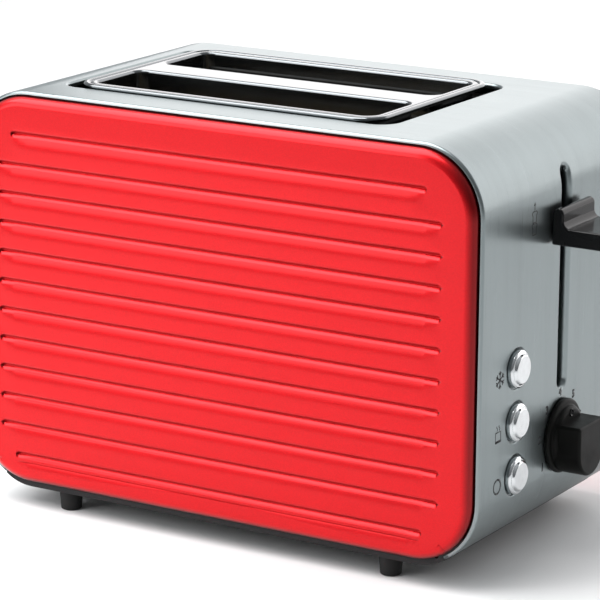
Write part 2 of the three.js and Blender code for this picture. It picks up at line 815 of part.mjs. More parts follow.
function addCarriage() {
  const { zinc, gloss, chrome } = FINISH;
  const carriage = subassembly(0, 0, LEVER.z);
  const shelf = LIFTER.top - LEVER.z;
  place(carriage, "carriage_bracket", carriageBracket(), zinc);
  place(carriage, "bread_lifter_front", breadLifter(), zinc, [0, -LIFTER.y, shelf]);
  place(carriage, "bread_lifter_rear", breadLifter(), zinc, [0, LIFTER.y, shelf]);
  place(carriage, "lever_grip", leverGrip(), gloss);
  place(carriage, "armature_plate", armaturePlate(), zinc);
  place(carriage, "lift_spring", liftSpring(), chrome, [92, -16, 0]);
  const rod = rodAlongZ(0, 0, 14 + GAP, CHAMBER.top - GAP, ROD.radius, 16);
  place(toaster, "guide_rod", rod, chrome, [ROD.x, 0, 0]);
}

function addControls() {
  const { black, chrome, board, zinc, copper, brass } = FINISH;
  const knob = subassembly(wrapX + 0.6, 0, KNOB.z);
  place(knob, "browning_knob", browningKnob(), black);
  const shaftStart = boardFace + 10 + GAP - (wrapX + 0.6);
  place(knob, "knob_shaft", rodAlongX(shaftStart, KNOB.reach - 3.4, 0, 0, KNOB.shaft, 16), brass);
  place(toaster, "potentiometer", potentiometer(), zinc, [boardFace, 0, KNOB.z]);
  place(toaster, "circuit_board", circuitBoard(), board);
  place(toaster, "button_carrier", buttonCarrier(), black);
  ["defrost", "reheat", "cancel"].forEach((name, index) => {
    const z = BUTTON.z[index];
    place(toaster, `${name}_button`, pushButton(), chrome, [wrapX, BUTTON.y, z]);
    place(toaster, `${name}_switch`, tactSwitch(), black, [boardFace, BUTTON.y, z]);
  });
  place(toaster, "magnet_core", magnetCore(), zinc);
  place(toaster, "magnet_coil", magnetCoil(), copper);
  place(toaster, "power_contact_live", powerContact(), brass, [76, -36, 26]);
  place(toaster, "power_contact_neutral", powerContact(), brass, [76, -48, 26]);
}

function addServiceParts() {
  place(toaster, "crumb_tray", crumbTray(), FINISH.zinc);
  place(toaster, "terminal_block", terminalBlock(), FINISH.black);
}

addCasing();
addHeatingChamber();
addCarriage();
addControls();
addServiceParts();

export default toaster;
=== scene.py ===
"""Looks for a two-slot pop-up toaster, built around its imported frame.

Lengths in this file are millimetres unless a name says otherwise; new_piece() turns them into metres.
+X points to the lever and the browning knob, -Y to the front panel and +Z up.
"""

import math

import bmesh
import bpy
from mathutils import Matrix, Vector
from mathutils.geometry import delaunay_2d_cdt


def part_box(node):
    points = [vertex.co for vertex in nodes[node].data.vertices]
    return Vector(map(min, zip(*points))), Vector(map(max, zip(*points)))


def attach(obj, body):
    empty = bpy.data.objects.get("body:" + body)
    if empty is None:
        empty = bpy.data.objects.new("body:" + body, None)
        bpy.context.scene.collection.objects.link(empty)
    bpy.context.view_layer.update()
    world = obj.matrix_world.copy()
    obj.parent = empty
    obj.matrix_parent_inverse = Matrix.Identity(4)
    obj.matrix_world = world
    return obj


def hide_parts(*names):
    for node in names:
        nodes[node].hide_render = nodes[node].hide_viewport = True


MM = 0.001

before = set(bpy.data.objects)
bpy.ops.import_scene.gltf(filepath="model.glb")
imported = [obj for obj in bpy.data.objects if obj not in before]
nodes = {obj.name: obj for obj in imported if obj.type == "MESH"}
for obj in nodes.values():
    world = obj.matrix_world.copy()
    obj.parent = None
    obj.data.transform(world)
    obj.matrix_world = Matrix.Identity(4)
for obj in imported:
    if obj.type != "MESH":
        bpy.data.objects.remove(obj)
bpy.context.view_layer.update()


def box_of(node):
    """The lowest and highest corner of a CAD node, in millimetres."""
    low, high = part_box(node)
    return low / MM, high / MM


def middle_of(node):
    """The middle of a CAD node's box, in millimetres."""
    low, high = box_of(node)
    return (low + high) / 2


# ---- driving sizes, worked out from the frame ----

CORNER = 29.5  # radius of the panel's corners
SHEET = 0.8  # thickness of the wrap and the panels

wrap_low, wrap_high = box_of("wrap_shell")
panel_low, panel_high = box_of("front_panel")
insert_low, insert_high = box_of("slot_insert")
base_low, base_high = box_of("base")
lever_low, lever_high = box_of("lever_grip")
knob_low, knob_high = box_of("browning_knob")

MIDDLE_X = (wrap_low.x + wrap_high.x) / 2
WRAP_X = (wrap_high.x - wrap_low.x) / 2
WRAP_Y = wrap_high.y
PANEL_X = (panel_high.x - panel_low.x) / 2
CORNER_X = PANEL_X - CORNER
LOW_CORNER_Z = panel_low.z + CORNER
HIGH_CORNER_Z = panel_high.z - CORNER
WRAP_RADIUS = WRAP_X - CORNER_X
LOWER_SWEEP = math.radians(60)
END_FACE = MIDDLE_X + WRAP_X  # the flat face of the control end

FRONT_Y = panel_low.y
KNOB_Z = middle_of("knob_shaft").z
WELL_MIDDLE_X = (insert_low.x + insert_high.x) / 2
INSERT_X = (insert_high.x - insert_low.x) / 2
INSERT_Y = insert_high.y

# roll is the radius of an opening's turned edge, depth how far that edge reaches in.
WELL = {"half_x": INSERT_X + 6.5, "half_y": INSERT_Y + 0.8, "corner": 9, "roll": 1.2, "depth": 2.4}
BREAD = {"half_x": 72, "inner": 9, "outer": 46.5, "corner": 6, "roll": 1.3, "depth": 12}

# low and high are the heights at which the round ends of the lever's slot are centred.
LEVER_SLOT = {"low": 76.9, "high": 168.3, "half": 3.2, "roll": 2.3, "depth": 4.4}
BUTTONS = ["defrost", "reheat", "cancel"]
BUTTON_Y = middle_of("cancel_button").y
BUTTON_Z = {name: middle_of(f"{name}_button").z for name in BUTTONS}
BUTTON_HOLE = 9
SHAFT_HOLE = 4.5
GLAND_HOLE = 5.3


# ---- node materials ----


class Material:
    """A procedural material: a Principled shader fed by noise in object space."""

    def __init__(self, name, color, roughness, metallic=0.0, **inputs):
        self.data = bpy.data.materials.new(name)
        self.data.use_nodes = True
        self.tree = self.data.node_tree
        self.shader = self.tree.nodes["Principled BSDF"]
        self.color = color
        self.set("Base Color", (*color, 1))
        self.set("Roughness", roughness)
        self.set("Metallic", metallic)
        for socket, value in inputs.items():
            self.set(socket.replace("_", " "), value)

    def set(self, socket, value):
        self.shader.inputs[socket].default_value = value

    def add(self, kind, links=(), values=(), **settings):
        """A new node. links maps a socket to an output, values maps a socket to a constant."""
        node = self.tree.nodes.new(kind)
        for key, value in settings.items():
            setattr(node, key, value)
        for socket, value in dict(values).items():
            node.inputs[socket].default_value = value
        for socket, output in dict(links).items():
            self.tree.links.new(output, node.inputs[socket])
        return node

    def link(self, output, socket):
        self.tree.links.new(output, self.shader.inputs[socket])

    def noise(self, scale, detail=3.0, stretch=(1, 1, 1), seed=(0, 0, 0)):
        """Noise in object space. scale is features per metre, stretch multiplies it by axis."""
        where = self.add("ShaderNodeTexCoord").outputs["Object"]
        values = {"Scale": stretch, "Location": seed}
        mapping = self.add("ShaderNodeMapping", {"Vector": where}, values)
        place = {"Vector": mapping.outputs["Vector"]}
        return self.add("ShaderNodeTexNoise", place, {"Scale": scale, "Detail": detail}).outputs["Fac"]

    def cells(self, scale, output="Distance"):
        """Cells in object space: the distance to each cell's middle, or its random colour."""
        where = self.add("ShaderNodeTexCoord").outputs["Object"]
        texture = self.add("ShaderNodeTexVoronoi", {"Vector": where}, {"Scale": scale})
        return texture.outputs[output]

    def ramp(self, factor, stops):
        """A colour ramp from (position, colour or grey) pairs."""
        node = self.add("ShaderNodeValToRGB", {"Fac": factor})
        elements = node.color_ramp.elements
        while len(elements) < len(stops):
            elements.new(0.5)
        for element, (position, value) in zip(elements, stops):
            element.position = position
            element.color = (*value, 1) if isinstance(value, tuple) else (value, value, value, 1)
        return node.outputs["Color"]

    def vary_color(self, factor, darker, lighter, low=0.3, high=0.7):
        """The base colour runs from darker to lighter times its own value as factor rises."""
        shades = [tuple(channel * share for channel in self.color) for share in (darker, lighter)]
        varied = self.ramp(factor, [(low, shades[0]), (high, shades[1])])
        self.link(varied, "Base Color")
        return varied

    def vary_roughness(self, factor, smoothest, roughest, low=0.3, high=0.7):
        span = {"From Min": low, "From Max": high, "To Min": smoothest, "To Max": roughest}
        node = self.add("ShaderNodeMapRange", {"Value": factor}, span)
        self.link(node.outputs["Result"], "Roughness")

    def bump(self, height, distance, strength=0.5):
        """height in the range 0 to 1 stands for distance in metres."""
        node = self.add("ShaderNodeBump", {"Height": height}, {"Strength": strength, "Distance": distance})
        self.link(node.outputs["Normal"], "Normal")

    def brushed_along(self, axis, anisotropy=0.7):
        """Reflections spread along the axis given, across the brushing."""
        tangent = self.add("ShaderNodeTangent", direction_type="RADIAL", axis=axis)
        self.link(tangent.outputs["Tangent"], "Tangent")
        self.set("Anisotropic", anisotropy)
        self.set("Anisotropic Rotation", 0.25)


def brushed_wrap():
    """Brushed stainless steel. The brushing runs round the wrap, so every line keeps its Y."""
    mat = Material("brushed_wrap", (0.235, 0.268, 0.273), 0.3, 1.0)
    fine = mat.noise(60, 4, (0.6, 60, 0.6))
    broad = mat.noise(25, 3, (0.5, 5, 0.5), (3, 1, 2))
    both = mat.add("ShaderNodeMath", {0: fine, 1: broad}, operation="ADD").outputs[0]
    mat.vary_color(both, 0.955, 1.03, 0.75, 1.25)
    mat.vary_roughness(fine, 0.27, 0.35)
    mat.bump(fine, 0.000008, 0.3)
    mat.brushed_along("Y")
    return mat.data


def polished_steel():
    """Polished stainless steel with faint smudges."""
    mat = Material("polished_steel", (0.155, 0.164, 0.17), 0.17, 1.0)
    smudge = mat.noise(35, 5)
    lines = mat.noise(80, 3, (0.4, 40, 1))
    mat.vary_color(lines, 0.94, 1.03)
    mat.vary_roughness(smudge, 0.13, 0.21)
    return mat.data


def red_lacquer():
    """Satin red lacquer with fine flakes under a clear coat, with painted shade that darkens it where it
    turns aside or down.
    """
    mat = Material(
        "red_lacquer",
        (0.57, 0.003, 0.007),
        0.36,
        0.95,
        Coat_Weight=0.38,
        Coat_Roughness=0.22,
        Specular_IOR_Level=0.3,
    )
    flake = mat.cells(2600, "Color")
    grey = mat.add("ShaderNodeSeparateColor", {"Color": flake}).outputs["Red"]
    # Painted shade: the colour is darkened down to 0.42 times on faces that turn towards either end or
    # downward.
    facing = mat.add("ShaderNodeNewGeometry").outputs["Normal"]
    split = mat.add("ShaderNodeSeparateXYZ", {"Vector": facing}).outputs
    aside = mat.add("ShaderNodeMath", {0: split["X"]}, operation="ABSOLUTE").outputs[0]
    down = mat.add("ShaderNodeMath", {0: split["Z"]}, {1: -0.8}, operation="MULTIPLY").outputs[0]
    turned = mat.add("ShaderNodeMath", {0: aside, 1: down}, operation="MAXIMUM").outputs[0]
    painted_shade = mat.ramp(turned, [(0.25, 1.0), (0.7, 0.42)])
    varied = mat.vary_color(grey, 0.92, 1.06, 0.0, 1.0)
    color_with_painted_shade = mat.add("ShaderNodeVectorMath", {0: varied, 1: painted_shade}, operation="MULTIPLY")
    mat.link(color_with_painted_shade.outputs["Vector"], "Base Color")
    mat.vary_roughness(mat.noise(40, 4), 0.32, 0.4)
    mat.bump(mat.noise(900, 2), 0.000012, 0.3)
    return mat.data


def moulded_black(name, color, roughness, grain, shine=0.22):
    """Black moulded plastic with a spark-eroded grain, grain metres deep."""
    mat = Material(name, color, roughness, Specular_IOR_Level=shine)
    grains = mat.noise(1400, 2)
    mat.vary_color(mat.noise(60), 0.85, 1.25)
    mat.vary_roughness(mat.noise(120, 4), roughness - 0.06, roughness + 0.08)
    mat.bump(grains, grain, 0.4)
    return mat.data


def gloss_black():
    """Glossy black plastic, not perfectly flat."""
    mat = Material(
        "gloss_black",
        (0.005, 0.005, 0.0055),
        0.18,
        Coat_Weight=0.08,
        Coat_Roughness=0.08,
        Specular_IOR_Level=0.14,
    )
    mat.vary_color(mat.noise(30), 0.8, 1.3)
    mat.vary_roughness(mat.noise(90, 6), 0.13, 0.24)
    mat.bump(mat.noise(300, 3), 0.00001, 0.2)
    return mat.data


def zinc_sheet():
    """Zinc plated sheet with a soft spangle and rolling lines."""
    mat = Material("zinc_sheet", (0.5, 0.51, 0.52), 0.34, 1.0)
    spangle = mat.add("ShaderNodeSeparateColor", {"Color": mat.cells(260, "Color")}).outputs["Red"]
    rolled = mat.noise(50, 4, (1, 1, 14))
    mat.vary_color(spangle, 0.86, 1.1, 0.0, 1.0)
    mat.vary_roughness(rolled, 0.26, 0.44)
    mat.bump(rolled, 0.00003, 0.25)
    return mat.data


def heated_sheet():
    """Reflector sheet with the straw tint that heat leaves."""
    mat = Material("heated_sheet", (0.62, 0.57, 0.5), 0.3, 1.0)
    tint = mat.noise(14, 4)
    colors = [(0.3, (0.52, 0.45, 0.36)), (0.5, (0.66, 0.6, 0.52)), (0.72, (0.7, 0.67, 0.62))]
    mat.link(mat.ramp(tint, colors), "Base Color")
    mat.vary_roughness(mat.noise(90, 4, (1, 1, 8)), 0.24, 0.42)
    return mat.data


def bright_metal(name, color, roughness, lines=(1, 1, 1)):
    """Plated or drawn metal with faint lines and handling marks."""
    mat = Material(name, color, roughness, 1.0)
    mat.vary_color(mat.noise(400, 3, lines), 0.95, 1.04)
    mat.vary_roughness(mat.noise(130, 5), roughness * 0.8, roughness * 1.5)
    return mat.data


def mica_sheet():
    """Mica: pale brown layers with glinting flakes."""
    mat = Material("mica_sheet", (0.42, 0.34, 0.22), 0.4, 0.0, Coat_Weight=0.25, Coat_Roughness=0.2)
    flakes = mat.cells(320)
    layers = mat.noise(50, 6)
    colors = [(0.25, (0.27, 0.2, 0.12)), (0.5, (0.45, 0.37, 0.25)), (0.75, (0.6, 0.53, 0.4))]
    mat.link(mat.ramp(layers, colors), "Base Color")
    mat.vary_roughness(flakes, 0.25, 0.55, 0.0, 0.6)
    mat.bump(flakes, 0.00005, 0.3)
    return mat.data


def circuit_laminate():
    """Green solder mask with paler tracks under it."""
    mat = Material("circuit_laminate", (0.02, 0.16, 0.06), 0.35)
    where = mat.add("ShaderNodeTexCoord").outputs["Object"]
    turned = mat.add("ShaderNodeMapping", {"Vector": where}, {"Rotation": (0, math.pi / 2, 0)})
    masks = {"Color1": (0.02, 0.17, 0.06, 1), "Color2": (0.03, 0.2, 0.08, 1)}
    tracks = {"Scale": 90, "Mortar Size": 0.06, "Mortar": (0.05, 0.3, 0.12, 1)}
    brick = mat.add("ShaderNodeTexBrick", {"Vector": turned.outputs["Vector"]}, masks | tracks)
    mat.link(brick.outputs["Color"], "Base Color")
    mat.vary_roughness(mat.noise(200), 0.3, 0.45)
    return mat.data


def wound_copper():
    """Lacquered winding wire, turn upon turn, with painted shade in the hollows between turns."""
    mat = Material("wound_copper", (0.55, 0.2, 0.07), 0.3, 1.0)
    where = {"Vector": mat.add("ShaderNodeTexCoord").outputs["Object"]}
    wave = mat.add("ShaderNodeTexWave", where, {"Scale": 500, "Distortion": 0.4}, bands_direction="Z")
    # Painted shade: the colour darkens to 0.35 times where the wave is low, in the hollows the bump makes
    # between turns.
    mat.vary_color(wave.outputs["Fac"], 0.35, 1.15, 0.1, 0.6)
    mat.bump(wave.outputs["Fac"], 0.0002, 0.8)
    return mat.data


def printed_ink():
    """Matt black ink with a slightly uneven film."""
    mat = Material("printed_ink", (0.02, 0.021, 0.023), 0.55)
    mat.vary_color(mat.noise(1500, 4), 0.7, 1.5)
    mat.vary_roughness(mat.noise(800), 0.45, 0.65)
    return mat.data


def pale_floor():
    """A pale matt floor with very faint clouds."""
    mat = Material("pale_floor", (0.86, 0.86, 0.86), 0.6)
    mat.vary_color(mat.noise(1.2), 0.985, 1.0)
    return mat.data


STEEL = brushed_wrap()
POLISHED = polished_steel()
RED = red_lacquer()
BLACK = moulded_black("black_moulding", (0.014, 0.014, 0.015), 0.42, 0.00006)
KNOB_BLACK = moulded_black("knob_black", (0.006, 0.0062, 0.0056), 0.4, 0.00002, 0.07)
RUBBER = moulded_black("foot_rubber", (0.013, 0.013, 0.013), 0.62, 0.00008)
GLOSS = gloss_black()
ZINC = zinc_sheet()
HEATED = heated_sheet()
WIRE = bright_metal("guard_wire", (0.52, 0.5, 0.47), 0.3)
CHROME = bright_metal("button_chrome", (0.62, 0.64, 0.65), 0.1)
SPRING = bright_metal("spring_steel", (0.6, 0.61, 0.62), 0.2, (1, 1, 20))
BRASS = bright_metal("brass_parts", (0.62, 0.44, 0.16), 0.28)
OXIDE = bright_metal("heating_alloy", (0.2, 0.17, 0.15), 0.42)
MICA = mica_sheet()
LAMINATE = circuit_laminate()
COPPER = wound_copper()
INK = printed_ink()

CAD_FINISHES = {
    BLACK: ["front_carrier", "rear_carrier", "terminal_block", "button_carrier"]
    + ["defrost_switch", "reheat_switch", "cancel_switch"],
    ZINC: ["control_end_plate", "far_end_plate", "carriage_bracket", "armature_plate"]
    + ["magnet_core", "potentiometer"],
    HEATED: ["reflector_front", "reflector_rear", "bread_lifter_front", "bread_lifter_rear"],
    MICA: ["mica_board_front", "mica_board_centre", "mica_board_rear"],
    OXIDE: ["element_front", "element_centre_front", "element_centre_rear", "element_rear"],
    SPRING: ["guide_rod", "lift_spring"],
    BRASS: ["knob_shaft", "power_contact_live", "power_contact_neutral"],
    LAMINATE: ["circuit_board"],
    COPPER: ["magnet_coil"],
}


def finish_cad_nodes():
    """Gives the CAD nodes that keep their own meshes their materials."""
    for material, names in CAD_FINISHES.items():
        for name in names:
            nodes[name].data.materials.clear()
            nodes[name].data.materials.append(material)


# ---- mesh helpers ----


def new_piece(name, shape, material, body, replaces=()):
    """A smooth mesh of (points in millimetres, faces), riding on a body of the frame."""
    points, faces = shape
    mesh = bpy.data.meshes.new(name)
    mesh.from_pydata([Vector(point) * MM for point in points], [], faces)
    work = bmesh.new()
    work.from_mesh(mesh)
    bmesh.ops.remove_doubles(work, verts=work.verts, dist=0.004 * MM)
    bmesh.ops.recalc_face_normals(work, faces=work.faces)
    for face in work.faces:
        face.smooth = True
    work.to_mesh(mesh)
    work.free()
    mesh.materials.append(material)
    piece = bpy.data.objects.new(name, mesh)
    bpy.context.scene.collection.objects.link(piece)
    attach(piece, body)
    if replaces:
        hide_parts(*replaces)
    return piece


def thicken(piece, thickness=SHEET):
    """Gives a surface the thickness of a sheet, on its inner side."""
    solid = piece.modifiers.new("sheet", "SOLIDIFY")
    solid.thickness = thickness * MM
    solid.offset = -1
    solid.use_even_offset = True


def ease_edges(piece, width, segments=3, angle=35):
    """Rounds every edge that turns by more than angle degrees."""
    bevel = piece.modifiers.new("eased edges", "BEVEL")
    bevel.width = width * MM
    bevel.segments = segments
    bevel.limit_method = "ANGLE"
    bevel.angle_limit = math.radians(angle)


def even_shading(piece):
    """Keeps flat faces flat to the eye beside their rounded edges. Comes after the other modifiers."""
    weighted = piece.modifiers.new("even shading", "WEIGHTED_NORMAL")
    weighted.keep_sharp = True


def arc(center, radius, start, end, steps):
    """Points on an arc, its angles in degrees."""
    angles = [math.radians(start + (end - start) * step / steps) for step in range(steps + 1)]
    return [(center[0] + radius * math.cos(a), center[1] + radius * math.sin(a)) for a in angles]


def rounded_outline(core, radius, steps=8):
    """A rectangle (u0, u1, v0, v1) grown by radius, with round corners."""
    u0, u1, v0, v1 = core
    corners = [((u1, v0), -90), ((u1, v1), 0), ((u0, v1), 90), ((u0, v0), 180)]
    points = [point for center, start in corners for point in arc(center, radius, start, start + 90, steps)]
    return [p for k, p in enumerate(points) if math.dist(p, points[k - 1]) > 1e-6]


def inside(outline, point):
    """Whether a point lies within a closed outline."""
    u, v = point
    crossings = 0
    for k, (u1, v1) in enumerate(outline):
        u0, v0 = outline[k - 1]
        if (v0 > v) != (v1 > v) and u < u0 + (v - v0) / (v1 - v0) * (u1 - u0):
            crossings += 1
    return crossings % 2 == 1


def nearest_in(core, point):
    """The point of a rectangle nearest to the point given."""
    u0, u1, v0, v1 = core
    return min(max(point[0], u0), u1), min(max(point[1], v0), v1)


class Skin:
    """A surface drawn in two flat coordinates. place(u, v, depth) puts it in space."""

    def __init__(self, place):
        self.place = place
        self.points = []
        self.faces = []
        self.rim = []

    def shape(self):
        return self.points, self.faces

    def point(self, u, v, depth=0.0):
        self.points.append(self.place(u, v, depth))
        return len(self.points) - 1

    def fill(self, outline, holes=(), lines=(), depth=0.0):
        """Fills outline less its holes at one depth. lines are edges to keep, rim gathers free edges."""
        flat, edges = [], []
        for loop in [outline, *holes]:
            first = len(flat)
            flat += [Vector(p) for p in loop]
            edges += [(first + k, first + (k + 1) % len(loop)) for k in range(len(loop))]
        for start, end in lines:
            edges.append((len(flat), len(flat) + 1))
            flat += [Vector(start), Vector(end)]
        vertices, _, triangles, *_ = delaunay_2d_cdt(flat, edges, [], 0, 1e-5)
        first = len(self.points)
        for u, v in vertices:
            self.point(u, v, depth)
        used = {}
        for triangle in triangles:
            middle = sum((vertices[k] for k in triangle), Vector((0, 0))) / 3
            if not inside(outline, middle) or any(inside(hole, middle) for hole in holes):
                continue
            self.faces.append([first + k for k in triangle])
            for k, a in enumerate(triangle):
                edge = frozenset((a, triangle[k - 1]))
                used[edge] = used.get(edge, 0) + 1
        free = [tuple(edge) for edge, count in used.items() if count == 1]
        self.rim += [(tuple(vertices[a]), tuple(vertices[b])) for a, b in free]

    def roll(self, core, profile, tolerance=0.12):
        """Carries a rim through (distance from core, depth) pairs, the first of which finds the rim."""
        start = profile[0][0]

        def on_rim(point):
            return abs(math.dist(point, nearest_in(core, point)) - start) < tolerance

        columns = {}

        def column(point):
            if point not in columns:
                base = nearest_in(core, point)
                away = Vector((point[0] - base[0], point[1] - base[1])).normalized()
                rest = [(base[0] + away.x * r, base[1] + away.y * r, depth) for r, depth in profile[1:]]
                columns[point] = [self.point(*point, profile[0][1]), *(self.point(*p) for p in rest)]
            return columns[point]

        for a, b in self.rim:
            if on_rim(a) and on_rim(b):
                left, right = column(a), column(b)
                for k in range(len(profile) - 1):
                    self.faces.append([left[k], right[k], right[k + 1], left[k + 1]])

    def grid(self, us, vs, depth_at):
        """A grid of quads whose depth is depth_at(u, v)."""
        ids = [[self.point(u, v, depth_at(u, v)) for u in us] for v in vs]
        for low, high in zip(ids, ids[1:]):
            for k in range(len(us) - 1):
                self.faces.append([low[k], low[k + 1], high[k + 1], high[k]])


def quarter_roll(start, radius, depth, steps=6, inward=True):
    """(distance, depth) pairs of an edge that turns down by 90 degrees and then runs straight."""
    sign = -1 if inward else 1
    pairs = []
    for step in range(steps + 1):
        angle = math.pi / 2 * step / steps
        pairs.append((start + sign * radius * math.sin(angle), radius * (1 - math.cos(angle))))
    return pairs + [(start + sign * radius, depth)]


def lathe(profile, place, steps=48):
    """Points and faces of a turned piece. profile lists (radius, height) from end to end."""
    points, faces = [], []
    for radius, height in profile:
        for step in range(steps):
            angle = 2 * math.pi * step / steps
            points.append(place(radius * math.cos(angle), radius * math.sin(angle), height))
    for ring in range(len(profile) - 1):
        for step in range(steps):
            following = (step + 1) % steps
            low, high = ring * steps, (ring + 1) * steps
            faces.append([low + step, low + following, high + following, high + step])
    return points, faces


def rounded_profile(corners, radius, steps=4):
    """A (radius, height) profile with every corner rounded but its two ends."""
    result = [corners[0]]
    for before, corner, after in zip(corners, corners[1:], corners[2:]):
        corner_v = Vector(corner)
        to_before, to_after = Vector(before) - corner_v, Vector(after) - corner_v
        cut = min(radius, to_before.length * 0.45, to_after.length * 0.45)
        start = corner_v + to_before.normalized() * cut
        end = corner_v + to_after.normalized() * cut
        for step in range(steps + 1):
            t = step / steps
            point = start * (1 - t) ** 2 + corner_v * 2 * t * (1 - t) + end * t**2
            result.append(tuple(point))
    return result + [corners[-1]]


def prism(outline, place, start, end):
    """Points and faces of a closed outline extruded from start to end."""
    count = len(outline)
    points = [place(u, v, w) for w in (start, end) for u, v in outline]
    sides = [[k, (k + 1) % count, count + (k + 1) % count, count + k] for k in range(count)]
    return points, [list(range(count))[::-1], list(range(count, 2 * count)), *sides]


def joined(*shapes):
    """Several (points, faces) pairs as one."""
    points, faces = [], []
    for more_points, more_faces in shapes:
        shift = len(points)
        points += more_points
        faces += [[shift + k for k in face] for face in more_faces]
    return points, faces


def wire(start, end, radius, sides=10):
    """A straight round wire with flat ends."""
    start, end = Vector(start), Vector(end)
    along = (end - start).normalized()
    across = along.cross(Vector((0, 1, 0)))
    over = along.cross(across)
    angles = [2 * math.pi * side / sides for side in range(sides)]
    outline = [(radius * math.cos(a), radius * math.sin(a)) for a in angles]
    return prism(outline, lambda u, v, w: start + across * u + over * v + along * w, 0, (end - start).length)


# ---- the steel wrap ----

SWEEPS = [WRAP_RADIUS * LOWER_SWEEP, HIGH_CORNER_Z - LOW_CORNER_Z, WRAP_RADIUS * math.pi / 2, 2 * CORNER_X]
JOINS = [sum(SWEEPS[:k]) for k in range(5)]
HALF_WAY = JOINS[3] + CORNER_X
WRAP_LENGTH = 2 * HALF_WAY
HEM = 1.4  # radius of the turned edge along the wrap


def wrap_place(s, y, depth):
    """A point of the wrap. s runs round it from the lower edge at the control end."""
    mirrored = s > HALF_WAY
    s = WRAP_LENGTH - s if mirrored else s
    if s < JOINS[1]:
        angle = -LOWER_SWEEP + s / WRAP_RADIUS
        center = (CORNER_X, LOW_CORNER_Z)
    elif s < JOINS[2]:
        angle = 0
        center = (CORNER_X, LOW_CORNER_Z + s - JOINS[1])
    elif s < JOINS[3]:
        angle = (s - JOINS[2]) / WRAP_RADIUS
        center = (CORNER_X, HIGH_CORNER_Z)
    else:
        angle = math.pi / 2
        center = (CORNER_X - (s - JOINS[3]), HIGH_CORNER_Z)
    reach = WRAP_RADIUS - depth
    x = center[0] + reach * math.cos(angle)
    z = center[1] + reach * math.sin(angle)
    return (MIDDLE_X + (-x if mirrored else x), y, z)


def s_of_end(z):
    """How far round the wrap the height z on the control end lies."""
    if z > HIGH_CORNER_Z:
        return JOINS[2] + WRAP_RADIUS * math.asin((z - HIGH_CORNER_Z) / WRAP_RADIUS)
    if z < LOW_CORNER_Z:
        return JOINS[1] - WRAP_RADIUS * math.asin((LOW_CORNER_Z - z) / WRAP_RADIUS)
    return JOINS[1] + z - LOW_CORNER_Z


def s_of_top(x):
    """How far round the wrap the place x on the top lies."""
    return HALF_WAY - (x - MIDDLE_X)


def bend_lines(edge):
    """Lines across the wrap that let its corners curve."""
    steps = {0: 10, 2: 16}  # in the lower and the upper corner
    inner = [JOINS[k] + SWEEPS[k] * step / n for k, n in steps.items() for step in range(n + 1)]
    inner = [s for s in inner if s > 0]
    return [((s, -edge), (s, edge)) for s in inner + [WRAP_LENGTH - s for s in inner]]


def wrap_openings():
    """Every opening in the wrap as (core, corner radius, roll, depth, steps in a corner)."""
    corner, half_x, half_y = WELL["corner"], WELL["half_x"], WELL["half_y"]
    ends = s_of_top(WELL_MIDDLE_X + half_x - corner), s_of_top(WELL_MIDDLE_X - half_x + corner)
    openings = [((*ends, corner - half_y, half_y - corner), corner, WELL["roll"], WELL["depth"], 10)]

    half, roll, depth = LEVER_SLOT["half"], LEVER_SLOT["roll"], LEVER_SLOT["depth"]
    ends = s_of_end(LEVER_SLOT["low"]), s_of_end(LEVER_SLOT["high"])
    openings.append(((*ends, 0, 0), half, roll, depth, 8))

    gland = middle_of("cord_gland")
    rounds = [(s_of_end(BUTTON_Z[name]), BUTTON_Y, BUTTON_HOLE, 0.7, 2.2, 12) for name in BUTTONS]
    rounds.append((s_of_end(KNOB_Z), 0, SHAFT_HOLE, 0.5, 1.5, 8))
    rounds.append((WRAP_LENGTH - s_of_end(gland.z), gland.y, GLAND_HOLE, 0.5, 1.5, 8))
    return openings + [((s, s, y, y), *rest) for s, y, *rest in rounds]


def make_wrap():
    """One band of sheet with its edges hemmed and every opening drawn inward."""
    edge = WRAP_Y - HEM
    skin = Skin(wrap_place)
    lines = bend_lines(edge)
    bends = sorted(s for (s, _), _ in lines)
    outline = [(s, -edge) for s in [0, *bends, WRAP_LENGTH]]
    outline += [(s, edge) for s in [WRAP_LENGTH, *reversed(bends), 0]]

    openings = wrap_openings()
    holes = [rounded_outline(core, radius + roll, steps) for core, radius, roll, _, steps in openings]
    skin.fill(outline, holes, lines)
    for core, radius, roll, depth, _ in openings:
        skin.roll(core, quarter_roll(radius + roll, roll, depth))
    margin = 5
    band = (0, WRAP_LENGTH, margin - edge, edge - margin)
    skin.roll(band, quarter_roll(margin, HEM, HEM + 0.1, inward=False), 0.01)
    piece = new_piece("steel_wrap", skin.shape(), STEEL, "casing", ["wrap_shell"])
    thicken(piece)
    even_shading(piece)


# ---- the red panels ----

# The first and the last groove are shorter and lie end_shift further out than the pitch puts them.
GROOVES = {"count": 12, "pitch": 13.37, "middle_z": 98.7, "end_shift": 0.7, "inset": 16, "end_inset": 23.5}
GROOVE_DEPTH = 1.8
UPPER_WALL = 2.3  # height of a groove above its deepest line
LOWER_WALL = 2.0
SHOULDER = 7.5  # below a groove the face takes this long to come level
SHOULDER_DEPTH = 0.7
END_ROUND = 1.8  # how far a groove takes to run out at its end
CROWN = 0.3  # how far each band between two grooves swells
PANEL_GAP = 1.0  # dark line between a panel and the wrap
PANEL_ROLL = 4.3  # width of the rolled edge
PANEL_DEPTH = 4.4  # depth of the rolled edge


def groove_list():
    """(height, half length) of each groove from the lowest up."""
    rows = []
    for index in range(GROOVES["count"]):
        rank = index - (GROOVES["count"] - 1) / 2
        at_end = index in (0, GROOVES["count"] - 1)
        shift = math.copysign(GROOVES["end_shift"], rank) if at_end else 0
        inset = GROOVES["end_inset"] if at_end else GROOVES["inset"]
        rows.append((GROOVES["middle_z"] + rank * GROOVES["pitch"] + shift, PANEL_X - inset))
    return rows


def smooth(t):
    """A soft step from 0 to 1 as t runs from 0 to 1."""
    t = min(max(t, 0), 1)
    return t * t * (3 - 2 * t)


